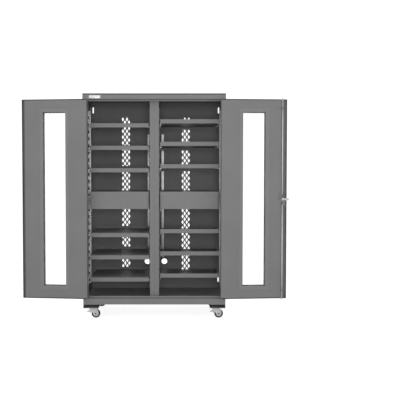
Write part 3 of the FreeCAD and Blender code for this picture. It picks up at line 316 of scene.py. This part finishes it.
MAKERS = {
    "body_paint": lambda label: powder_coat(label, finish().paint),
    "cap_paint": lambda label: powder_coat(label, finish().cap_paint),
    "door_paint": lambda label: powder_coat(label, finish().paint),
    "frame_paint": lambda label: powder_coat(label, finish().frame_paint),
    "shelf_paint": lambda label: powder_coat(label, finish().paint),
    "runner_paint": lambda label: powder_coat(label, finish().runner_paint),
    "runner_inside": lambda label: powder_coat(label, finish().runner_inside),
    "pan_paint": lambda label: powder_coat(label, finish().pan_paint),
    "zinc": lambda label: zinc_plate(label, finish().zinc),
    "wall_zinc": lambda label: zinc_plate(label, finish().wall_zinc, metallic=0.8),
    "handle_metal": lambda label: zinc_plate(label, finish().lever_metal, roughness=0.2),
    "brass": lambda label: zinc_plate(label, finish().lock_brass, roughness=0.28),
    "rod_steel": lambda label: zinc_plate(label, finish().rod_steel, roughness=0.42, metallic=0.25),
    "fork_zinc": lambda label: zinc_plate(label, finish().fork_zinc, roughness=0.5, metallic=0.5),
    "dark_steel": lambda label: zinc_plate(label, finish().axle_steel, roughness=0.5),
    "strip_shell": lambda label: satin_metal(label, finish().strip_shell, roughness=0.32, metallic=0.6),
    "black_plastic": lambda label: moulded(label, finish().black_plastic, roughness=0.45),
    "hub_plastic": lambda label: moulded(label, finish().hub_plastic, roughness=0.4),
    "tread": lambda label: moulded(label, finish().rubber, roughness=0.62, grain=500.0),
    "rubber": lambda label: moulded(label, finish().rubber, roughness=0.6, grain=500.0),
    "clear_pane": clear_pane,
    "plate": lambda label: zinc_plate(label, finish().plate, roughness=0.45),
}


def material(name):
    """The finish of that name, made when it is first asked for.

    The ending keeps it apart from the frame's own plain material of the same name.
    """
    label = name + "_finish"
    return bpy.data.materials.get(label) or MAKERS[name](label)


# Mesh helpers

# Faces that meet at less than FLAT_ANGLE are one flat face, and edges over SHARP_ANGLE are rounded.
# Shading breaks over SMOOTH_ANGLE, or over ROUNDED_ANGLE where a piece has rounded edges.
# A flange is more than FLANGE_WIDTH rounding radii wide.
FLAT_ANGLE = math.radians(1)
SMOOTH_ANGLE = math.radians(35)
SHARP_ANGLE = math.radians(40)
ROUNDED_ANGLE = math.radians(50)
FLANGE_WIDTH = 2.5
MERGE_DISTANCE = 0.01 * MM
TINY = 1e-6


def body_of(node):
    return frame["nodes"][node]["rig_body"]


def add_piece(name, bm, finish_name, body, smooth_angle=SMOOTH_ANGLE):
    """Turns a bmesh in the cabinet's frame into a finished piece that rides on a body."""
    mesh = bpy.data.meshes.new(name)
    bm.to_mesh(mesh)
    bm.free()
    for face in mesh.polygons:
        face.use_smooth = True
    mesh.set_sharp_from_angle(angle=smooth_angle)
    mesh.materials.append(material(finish_name))
    piece = bpy.data.objects.new(name, mesh)
    bpy.context.scene.collection.objects.link(piece)
    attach(piece, body)
    return piece


def dress(node, finish_name):
    """Gives a node that stays in view its finish."""
    mesh = frame["nodes"][node].data
    mesh.materials.clear()
    mesh.materials.append(material(finish_name))


def add_block(bm, low, high, bevel):
    """A block between two corners with its edges rounded."""
    low, high = Vector(low), Vector(high)
    place = Matrix.Translation((low + high) / 2) @ Matrix.Diagonal((*(high - low), 1))
    made = bmesh.ops.create_cube(bm, size=1, matrix=place)
    edges = {edge for vert in made["verts"] for edge in vert.link_edges}
    bmesh.ops.bevel(
        bm, geom=list(edges), offset=bevel, offset_type="OFFSET", segments=2, profile=0.5,
        affect="EDGES", material=-1,
    )


def lathe(bm, profile, centre, axis, across, steps):
    """Spins a closed profile of (radius, along) pairs about an axis through centre."""
    verts = [bm.verts.new(centre + across * radius + axis * along) for radius, along in profile]
    edges = [bm.edges.new((a, b)) for a, b in zip(verts, verts[1:] + verts[:1])]
    bmesh.ops.spin(
        bm, geom=verts + edges, cent=centre, axis=axis, angle=math.tau, steps=steps, use_merge=True,
        use_duplicate=False,
    )
    bmesh.ops.remove_doubles(bm, verts=bm.verts, dist=TINY)
    bmesh.ops.recalc_face_normals(bm, faces=bm.faces)


def merged(node):
    """A copy of a node's mesh in which faces share their corners."""
    bm = bmesh.new()
    bm.from_mesh(frame["nodes"][node].data)
    bmesh.ops.remove_doubles(bm, verts=bm.verts, dist=MERGE_DISTANCE)
    return bm


def is_fold(edge, radius):
    """A convex edge between two flanges, which are both much wider than the sheet is thick."""
    narrowest = min(face.calc_area() for face in edge.link_faces) / max(edge.calc_length(), TINY)
    return edge.is_convex and narrowest > FLANGE_WIDTH * radius


def softened(node, radius, segments=1, folds_only=False):
    """A merged copy of a node's mesh with its sharp edges, or only its folds, rounded."""
    bm = merged(node)
    bmesh.ops.dissolve_limit(bm, angle_limit=FLAT_ANGLE, verts=bm.verts, edges=bm.edges)
    sharp = [
        edge for edge in bm.edges
        if len(edge.link_faces) == 2 and edge.calc_face_angle() > SHARP_ANGLE
        and (not folds_only or is_fold(edge, radius))
    ]
    bmesh.ops.bevel(
        bm, geom=sharp, offset=radius, offset_type="OFFSET", segments=segments, profile=0.5,
        affect="EDGES", clamp_overlap=True, material=-1,
    )
    return bm


def soften(node, finish_name, radius, segments=1, folds_only=False):
    """Shows a rounded copy of a node in its place."""
    bm = softened(node, radius, segments, folds_only)
    piece = add_piece(node + "_rounded", bm, finish_name, body_of(node), ROUNDED_ANGLE)
    even = piece.modifiers.new("even_normals", "WEIGHTED_NORMAL")
    even.mode = "FACE_AREA"
    even.keep_sharp = True
    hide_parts(node)
    return piece


def fold(node, finish_name):
    """Shows a copy of a sheet node with its folds drawn round."""
    return soften(node, finish_name, sizes().fold_radius, segments=3, folds_only=True)


def finish_where(piece, finish_name, chosen):
    """Gives a second finish to the faces that pass the test."""
    piece.data.materials.append(material(finish_name))
    for face in piece.data.polygons:
        if chosen(face):
            face.material_index = 1


# Pieces

class CABINET_OT_body(Operator):
    """Paints the shell and rounds its folds"""

    bl_idname = "cabinet.body"
    bl_label = "Body Shell"

    end_slope = 0.5

    def execute(self, context):
        for node in ("left_side_panel", "right_side_panel", "back_panel"):
            dress(node, "body_paint")
        for node in ("header_rail", "sill_rail", "centre_dividers"):
            fold(node, "body_paint")
        # The base pan's lighter coat is painted light on the bays' floor
        soften("base_pan", "pan_paint", sizes().edge_radius)
        # The whole lid gets the darker coat as painted shade along its front edge
        dress("top_panel", "cap_paint")
        # The runners' dark coat is painted shade
        runners = fold("base_runners", "runner_paint")
        # Faces inside each runner get the lighter coat as painted light in the hollow
        finish_where(runners, "runner_inside", self.is_inside_runner)
        return {"FINISHED"}

    def is_inside_runner(self, face):
        """A face that looks at the long axis of its own runner, and not out of an end."""
        low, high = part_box("base_runners")
        width = sizes().runner_width
        middle_x = low.x + width / 2 if face.center.x < 0 else high.x - width / 2
        away = face.center - Vector((middle_x, face.center.y, (low.z + high.z) / 2))
        return face.normal.dot(away) < 0 and abs(face.normal.y) < self.end_slope


class CABINET_OT_shelves(Operator):
    """Paints the shelves and the raceway covers and rounds their edges"""

    bl_idname = "cabinet.shelves"
    bl_label = "Shelves"

    def execute(self, context):
        radius = sizes().edge_radius
        nodes = [f"{side}_shelf_{number}" for side in SIDES for number in BANK]
        for node in nodes + ["centre_shelves", "raceway_covers"]:
            soften(node, "shelf_paint", radius)
        soften("shelf_clips", "zinc", radius)
        return {"FINISHED"}


class CABINET_OT_uprights(Operator):
    """Builds the slotted uprights that the shelf clips hook into"""

    bl_idname = "cabinet.uprights"
    bl_label = "Slotted Uprights"

    # The uprights at the post lie within post_reach of the middle, and those at the walls beyond it
    post_reach = 0.5
    skin = 0.75 * MM

    def execute(self, context):
        # The uprights are one plated part: those at the walls get a brighter zinc as painted highlight,
        # those at the post a dark coat as painted shade
        for name, finish_name, at_post in (("wall", "wall_zinc", False), ("post", "runner_paint", True)):
            bm = bmesh.new()
            for low, high in self.channels():
                if self.is_at_post(low, high) == at_post:
                    self.add_channel(bm, low, high)
            piece = add_piece(f"{name}_standards", bm, finish_name, body_of("shelf_uprights"))
            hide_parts("shelf_uprights")
        return {"FINISHED"}

    def is_at_post(self, low, high):
        return max(abs(low.x), abs(high.x)) < self.post_reach

    def channels(self):
        """The box of each separate channel in the node."""
        bm = merged("shelf_uprights")
        boxes = []
        left = set(bm.verts)
        while left:
            island, growing = set(), [left.pop()]
            while growing:
                vert = growing.pop()
                island.add(vert)
                for edge in vert.link_edges:
                    other = edge.other_vert(vert)
                    if other in left:
                        left.discard(other)
                        growing.append(other)
            low = Vector([min(vert.co[i] for vert in island) for i in range(3)])
            high = Vector([max(vert.co[i] for vert in island) for i in range(3)])
            boxes.append((low, high))
        bm.free()
        return boxes

    def add_channel(self, bm, low, high):
        """One channel: a folded strip drawn upwards row by row, its slots and notches left out.

        A notch lies at the channel's back, and spans every second slot and the row above it.
        """
        outwards = low.x + high.x > 0
        if outwards != self.is_at_post(low, high):
            back_x, web_x = high.x, low.x + self.skin
        else:
            back_x, web_x = low.x, high.x - self.skin
        notch_x = back_x + (web_x - back_x) * sizes().notch_share
        front_y, rear_y = low.y + self.skin, high.y - self.skin
        middle_y = (low.y + high.y) / 2
        half_slot = sizes().slot_width / 2
        outline = [
            (back_x, front_y), (notch_x, front_y), (web_x, front_y), (web_x, middle_y - half_slot),
            (web_x, middle_y + half_slot), (web_x, rear_y), (notch_x, rear_y), (back_x, rear_y),
        ]
        verts = [bm.verts.new((x, y, low.z)) for x, y in outline]
        row = [bm.edges.new(pair) for pair in zip(verts, verts[1:])]
        levels = self.levels(low.z, high.z)
        kept, cut = [], []
        for index, (start, end) in enumerate(zip(levels, levels[1:])):
            made = bmesh.ops.extrude_edge_only(bm, edges=row)["geom"]
            raised = [item for item in made if isinstance(item, bmesh.types.BMVert)]
            bmesh.ops.translate(bm, verts=raised, vec=(0, 0, end - start))
            for face in [item for item in made if isinstance(item, bmesh.types.BMFace)]:
                spot = face.calc_center_median()
                in_slot = index % 2 == 1 and abs(spot.y - middle_y) < half_slot / 2
                in_notch = index % 4 in (1, 2) and abs(spot.x - web_x) > abs(notch_x - web_x)
                if in_slot or in_notch:
                    cut.append(face)
                else:
                    kept.append(face)
            edges = [item for item in made if isinstance(item, bmesh.types.BMEdge)]
            row = [edge for edge in edges if all(vert in raised for vert in edge.verts)]
        bmesh.ops.delete(bm, geom=cut, context="FACES")
        bmesh.ops.recalc_face_normals(bm, faces=kept)
        bmesh.ops.solidify(bm, geom=kept, thickness=self.skin)

    def levels(self, foot, top):
        """Heights where slots start and end, so that each odd row holds a slot."""
        levels = [foot]
        z = foot + sizes().slot_pitch - sizes().slot_height
        while z + sizes().slot_height < top:
            levels += [z, z + sizes().slot_height]
            z += sizes().slot_pitch
        return levels + [top]


class CABINET_OT_power(Operator):
    """Builds the outlet faces and finishes the strips, switches and grommets"""

    bl_idname = "cabinet.power"
    bl_label = "Power Strips"

    half_width, half_height = 13 * MM, 17 * MM
    columns, rows = 13, 17
    blade_out, blade_half = 6 * MM, 1.3 * MM
    blade_foot, blade_top = 1 * MM, 9 * MM
    earth_half, earth_foot, earth_top = 2.2 * MM, -8 * MM, -3.5 * MM
    slot_depth, plate_depth = 1.6 * MM, 1.9 * MM
    face_sink = 0.05 * MM

    def execute(self, context):
        soften("power_strips", "strip_shell", sizes().edge_radius)
        bm = bmesh.new()
        low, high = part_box("strip_outlets")
        for side in (-1, 1):
            for centre_z in self.outlet_rows():
                self.add_outlet(bm, side, high.x, (low.y + high.y) / 2, centre_z)
        piece = add_piece("outlet_faces", bm, "black_plastic", body_of("strip_outlets"))
        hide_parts("strip_outlets")
        for side in SIDES:
            soften(f"{side}_strip_switch", "black_plastic", sizes().casting_radius / 2)
        dress("cable_grommets", "rubber")
        return {"FINISHED"}

    def outlet_rows(self):
        """Heights of the outlets' middles, from the corners of the node's blocks."""
        corners = frame["nodes"]["strip_outlets"].data.vertices
        heights = sorted({round(corner.co.z, 5) for corner in corners})
        return [(foot + top) / 2 for foot, top in zip(heights[::2], heights[1::2])]

    def is_slot(self, face):
        """A face of the grid that lies in a blade slot or in the earth hole."""
        spot = face.calc_center_median()
        beside_blade = abs(abs(spot.y) - self.blade_out)
        in_blade = beside_blade < self.blade_half and self.blade_foot < spot.z < self.blade_top
        in_earth = abs(spot.y) < self.earth_half and self.earth_foot < spot.z < self.earth_top
        return in_blade or in_earth

    def add_outlet(self, bm, side, face_x, middle_y, middle_z):
        """One socket: a face plate with two blade slots and an earth hole let into it."""
        grid = bmesh.ops.create_grid(bm, x_segments=self.columns, y_segments=self.rows, size=0.5)["verts"]
        quarter = math.radians(90)
        turn = Matrix.Rotation(quarter, 4, "Y") @ Matrix.Rotation(quarter, 4, "Z")
        bmesh.ops.transform(bm, matrix=turn, verts=grid)
        bmesh.ops.scale(bm, verts=grid, vec=(1, 2 * self.half_width, 2 * self.half_height))
        faces = list({face for vert in grid for face in vert.link_faces})
        slots = [face for face in faces if self.is_slot(face)]
        shell = bmesh.ops.extrude_face_region(bm, geom=slots)["geom"]
        sunk = [item for item in shell if isinstance(item, bmesh.types.BMVert)]
        bmesh.ops.translate(bm, verts=sunk, vec=(-self.slot_depth, 0, 0))
        bmesh.ops.delete(bm, geom=slots, context="FACES_ONLY")
        touched = set(grid) | set(sunk)
        rim = [
            edge for edge in bm.edges
            if edge.is_boundary and all(vert in touched for vert in edge.verts)
        ]
        skirt = bmesh.ops.extrude_edge_only(bm, edges=rim)["geom"]
        skirt_verts = [item for item in skirt if isinstance(item, bmesh.types.BMVert)]
        bmesh.ops.translate(bm, verts=skirt_verts, vec=(-self.plate_depth, 0, 0))
        touched |= set(skirt_verts)
        all_faces = list({face for vert in touched for face in vert.link_faces})
        if side < 0:
            bmesh.ops.scale(bm, vec=(-1, 1, 1), verts=list(touched))
        bmesh.ops.recalc_face_normals(bm, faces=all_faces)
        place = (side * (face_x - self.face_sink), middle_y, middle_z)
        bmesh.ops.translate(bm, verts=list(touched), vec=place)


class CABINET_OT_doors(Operator):
    """Finishes the doors, their windows, frames and hinge leaves"""

    bl_idname = "cabinet.doors"
    bl_label = "Doors"

    def execute(self, context):
        radius = sizes().edge_radius
        for side in SIDES:
            soften(f"{side}_door_panel", "door_paint", radius)
            soften(f"{side}_door_liner", "door_paint", radius)
            # The frame's lighter coat is painted light on the raised frame
            soften(f"{side}_window_frame", "frame_paint", radius)
            dress(f"{side}_window", "clear_pane")
            dress(f"{side}_door_hinge_leaves", "door_paint")
        dress("jamb_hinges", "body_paint")
        return {"FINISHED"}


class CABINET_OT_latch(Operator):
    """Finishes the lever, lock, cam, rods and guides"""

    bl_idname = "cabinet.latch"
    bl_label = "Latch"

    def execute(self, context):
        radius = sizes().casting_radius
        soften("latch_handle", "handle_metal", radius, segments=3)
        self.add_cam(radius / 3)
        soften("rod_guides", "door_paint", radius / 2)
        dress("latch_housing", "zinc")
        dress("lock_plug", "brass")
        for node in ("upper_rod", "lower_rod"):
            self.add_rod(node)
        return {"FINISHED"}

    def lever_height(self):
        low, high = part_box("latch_housing")
        return (low.z + high.z) / 2

    def add_cam(self, radius):
        """A painted plate with a bright tongue across it."""
        lever_z, half = self.lever_height(), sizes().tongue_height / 2
        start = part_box("latch_cam")[0].x + sizes().cam_plate
        along_x, along_z = (1, 0, 0), (0, 0, 1)
        bm = softened("latch_cam", radius)
        for place, normal in (
            ((start, 0, 0), along_x), ((0, 0, lever_z - half), along_z), ((0, 0, lever_z + half), along_z),
        ):
            geom = bm.verts[:] + bm.edges[:] + bm.faces[:]
            bmesh.ops.bisect_plane(bm, geom=geom, plane_co=place, plane_no=normal)
        piece = add_piece("latch_cam_finished", bm, "door_paint", body_of("latch_cam"))
        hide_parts("latch_cam")

        def is_tongue(face):
            return face.center.x > start and abs(face.center.z - lever_z) < half

        finish_where(piece, "rod_steel", is_tongue)

    def add_rod(self, node):
        """A bright bar on a painted foot."""
        name, bm = node + "_finished", merged(node)
        piece = add_piece(name, bm, "door_paint", body_of(node), SHARP_ANGLE)
        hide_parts(node)
        lever_z = self.lever_height()
        finish_where(piece, "rod_steel", lambda face: abs(face.center.z - lever_z) > sizes().rod_foot)


class CABINET_OT_casters(Operator):
    """Builds crowned tyres and dished hubs, and finishes the forks, plates, bolts and brakes"""

    bl_idname = "cabinet.casters"
    bl_label = "Casters"

    axle_head_reach = 8 * MM

    def execute(self, context):
        for corner in FRONT_CASTERS + REAR_CASTERS:
            self.add_wheel(corner)
            self.add_fork(corner)
        for corner in FRONT_CASTERS:
            radius = sizes().casting_radius
            soften(f"{corner}_brake_pedal", "black_plastic", radius, segments=2)
        # The plates' dark coat is painted shade under the runners
        soften("caster_plates", "runner_paint", sizes().edge_radius)
        soften("caster_bolts", "zinc", sizes().casting_radius)
        return {"FINISHED"}

    def add_fork(self, corner):
        """A dull plated fork whose axle bolt has dark heads."""
        fork = soften(f"{corner}_fork", "fork_zinc", sizes().casting_radius, segments=2)
        low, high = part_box(f"{corner}_wheel")
        axle = (low + high) / 2
        outside = (high.y - low.y) / 2 + sizes().fork_reach
        top = axle.z + self.axle_head_reach

        def is_axle_head(face):
            return abs(face.center.y - axle.y) > outside and face.center.z < top

        finish_where(fork, "dark_steel", is_axle_head)

    def add_wheel(self, corner):
        node = f"{corner}_wheel"
        low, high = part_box(node)
        outer, half = (high.z - low.z) / 2, (high.y - low.y) / 2
        rim = outer - sizes().rim_depth
        tyre, hub = self.half_tyre(outer, rim, half), self.half_hub(rim, half)
        for name, finish_name, half_profile in (("tyre", "tread", tyre), ("hub", "hub_plastic", hub)):
            other_half = [(radius, -along) for radius, along in reversed(half_profile) if along > 0]
            bm = bmesh.new()
            lathe(
                bm, half_profile + other_half, centre=(low + high) / 2, axis=Vector((0, 1, 0)),
                across=Vector((1, 0, 0)), steps=sizes().wheel_steps,
            )
            piece = add_piece(f"{corner}_{name}", bm, finish_name, body_of(node))
            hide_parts(node)

    def half_tyre(self, outer, rim, half):
        """One side of a tyre, from its foot on the rim to the middle of the tread."""
        shoulder, corner = 5 * MM, 2 * MM
        return [
            (rim, half - 1 * MM), (rim + 2 * MM, half), (outer - shoulder, half - 0.5 * MM),
            (outer - corner, half - 2.5 * MM), (outer - sizes().tread_crown / 4, half / 2), (outer, 0),
        ]

    def half_hub(self, rim, half):
        """One side of a hub, from its bore over the boss and the dish to the rim."""
        bore, boss, dish = 5.05 * MM, 10 * MM, sizes().hub_dish
        return [
            (bore, half - 0.5 * MM), (boss, half - 0.5 * MM), (boss + 1.5 * MM, half - dish - 1 * MM),
            (rim - 6 * MM, half - dish), (rim - 3 * MM, half - 1 * MM), (rim - 0.3 * MM, half - 1.5 * MM),
        ]


class CABINET_OT_plate(Operator):
    """Adds the bare plate on the header's left end"""

    bl_idname = "cabinet.plate"
    bl_label = "Bare Plate"

    drop = 17 * MM
    stand_off, sink = 0.9 * MM, 0.05 * MM
    rounding = 0.3 * MM

    def execute(self, context):
        low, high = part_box("header_rail")
        left = low.x + sizes().plate_inset
        right = left + sizes().plate_width
        middle_z = high.z - self.drop
        half = sizes().plate_height / 2
        bm = bmesh.new()
        add_block(
            bm, (left, low.y - self.stand_off, middle_z - half),
            (right, low.y + self.sink, middle_z + half), self.rounding,
        )
        add_piece("header_plate", bm, "plate", body_of("header_rail"))
        return {"FINISHED"}


# Studio

class CABINET_OT_studio(Operator):
    """Sets up the floor, the surroundings, the lamps and the camera"""

    bl_idname = "cabinet.studio"
    bl_label = "Studio"

    floor_reach = 30
    sensor_width = 36
    view_end = 100
    lamps = {
        "key": {"place": (-3.6, -4.2, 3.0), "target": (0, 0.1, 0.95), "size": 3.2},
        "fill": {"place": (3.9, -3.9, 2.4), "target": (0, 0.1, 0.95), "size": 3.2},
        "top": {"place": (0.0, -2.2, 4.2), "target": (0, -0.1, 1.2), "size": 3.0},
        "front": {"place": (0.3, -6.6, 1.4), "target": (0, 0.1, 1.0), "size": 1.6},
    }

    def execute(self, context):
        self.add_floor()
        self.light_surroundings(context.scene)
        for name, setting in self.lamps.items():
            self.add_lamp(name, power=getattr(studio(), name + "_power"), **setting)
        self.add_camera(context.scene)
        context.scene.view_settings.view_transform = "Standard"
        return {"FINISHED"}

    def add_floor(self):
        bm = bmesh.new()
        bmesh.ops.create_grid(bm, x_segments=4, y_segments=4, size=self.floor_reach)
        mesh = bpy.data.meshes.new("floor")
        bm.to_mesh(mesh)
        bm.free()
        floor = bpy.data.objects.new("floor", mesh)
        bpy.context.scene.collection.objects.link(floor)
        mesh.materials.append(self.floor_finish())

    def floor_finish(self):
        """A pale matt floor, lifted to white where the camera or a reflection sees it."""
        surface = Shader("floor", colour=(0.8, 0.8, 0.8), roughness=0.9)
        surface.tint(surface.noise(scale=0.7, detail=2.0), darkest=0.99, lightest=1.01)
        glow = surface.nodes.new("ShaderNodeEmission")
        lift = self.seen_directly(surface.material.node_tree, studio().floor_glow)
        surface.links.new(lift, glow.inputs["Strength"])
        both = surface.nodes.new("ShaderNodeAddShader")
        out = surface.nodes["Material Output"]
        surface.links.new(surface.skin.outputs["BSDF"], both.inputs[0])
        surface.links.new(glow.outputs["Emission"], both.inputs[1])
        surface.links.new(both.outputs["Shader"], out.inputs["Surface"])
        return surface.material

    def seen_directly(self, tree, strength, otherwise=0.0):
        """strength for camera, mirror and glass rays, and otherwise for the rest."""
        rays = tree.nodes.new("ShaderNodeLightPath")
        total = rays.outputs["Is Camera Ray"]
        for kind in ("Is Glossy Ray", "Is Transmission Ray"):
            either = tree.nodes.new("ShaderNodeMath")
            either.operation = "MAXIMUM"
            tree.links.new(total, either.inputs[0])
            tree.links.new(rays.outputs[kind], either.inputs[1])
            total = either.outputs["Value"]
        level = tree.nodes.new("ShaderNodeMapRange")
        level.inputs["To Min"].default_value = otherwise
        level.inputs["To Max"].default_value = strength
        tree.links.new(total, level.inputs["Value"])
        return level.outputs["Result"]

    def light_surroundings(self, scene):
        world = bpy.data.worlds.new("surroundings")
        scene.world = world
        world.use_nodes = True
        tree = world.node_tree
        level = self.seen_directly(tree, studio().backdrop, studio().ambient)
        tree.links.new(level, tree.nodes["Background"].inputs["Strength"])
        tree.nodes["Background"].inputs["Color"].default_value = (1, 1, 1, 1)

    def add_lamp(self, name, place, target, size, power):
        lamp = bpy.data.lights.new(name, "AREA")
        lamp.shape = "SQUARE"
        lamp.size = size
        lamp.energy = power
        holder = bpy.data.objects.new(name, lamp)
        holder.location = place
        holder.rotation_euler = (Vector(target) - Vector(place)).to_track_quat("-Z", "Y").to_euler()
        bpy.context.scene.collection.objects.link(holder)

    def add_camera(self, scene):
        camera = bpy.data.cameras.new("camera")
        camera.sensor_width = self.sensor_width
        camera.lens = studio().lens
        camera.shift_x = studio().shift_x
        camera.shift_y = studio().shift_y
        camera.clip_end = self.view_end
        holder = bpy.data.objects.new("camera", camera)
        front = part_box("header_rail")[0].y
        holder.location = (studio().camera_side, front - studio().camera_distance, studio().camera_height)
        holder.rotation_euler = (math.radians(90) - studio().camera_pitch, 0, 0)
        scene.collection.objects.link(holder)
        scene.camera = holder


PIECES = (
    CABINET_OT_body, CABINET_OT_shelves, CABINET_OT_uprights, CABINET_OT_power, CABINET_OT_doors,
    CABINET_OT_latch, CABINET_OT_casters, CABINET_OT_plate, CABINET_OT_studio,
)
GROUPS = {"cabinet_finish": CabinetFinish, "cabinet_sizes": CabinetSizes, "cabinet_studio": CabinetStudio}


class CABINET_PT_sidebar(Panel):
    """Lists the cabinet's pieces and settings"""

    bl_idname = "CABINET_PT_sidebar"
    bl_label = "Charging Cabinet"
    bl_space_type = "VIEW_3D"
    bl_region_type = "UI"
    bl_category = "Cabinet"

    def draw(self, context):
        for piece in PIECES:
            self.layout.operator(piece.bl_idname)
        for group_name, group in GROUPS.items():
            for name in group.__annotations__:
                self.layout.prop(getattr(context.scene, group_name), name)


CLASSES = (*GROUPS.values(), *PIECES, CABINET_PT_sidebar)


def register():
    for cls in CLASSES:
        bpy.utils.register_class(cls)
    for name, group in GROUPS.items():
        setattr(bpy.types.Scene, name, PointerProperty(type=group))


def unregister():
    for name in GROUPS:
        delattr(bpy.types.Scene, name)
    for cls in reversed(CLASSES):
        bpy.utils.unregister_class(cls)


def main():
    register()
    for piece in PIECES:
        group, name = piece.bl_idname.split(".")
        getattr(getattr(bpy.ops, group), name)()


if __name__ == "__main__":
    main()
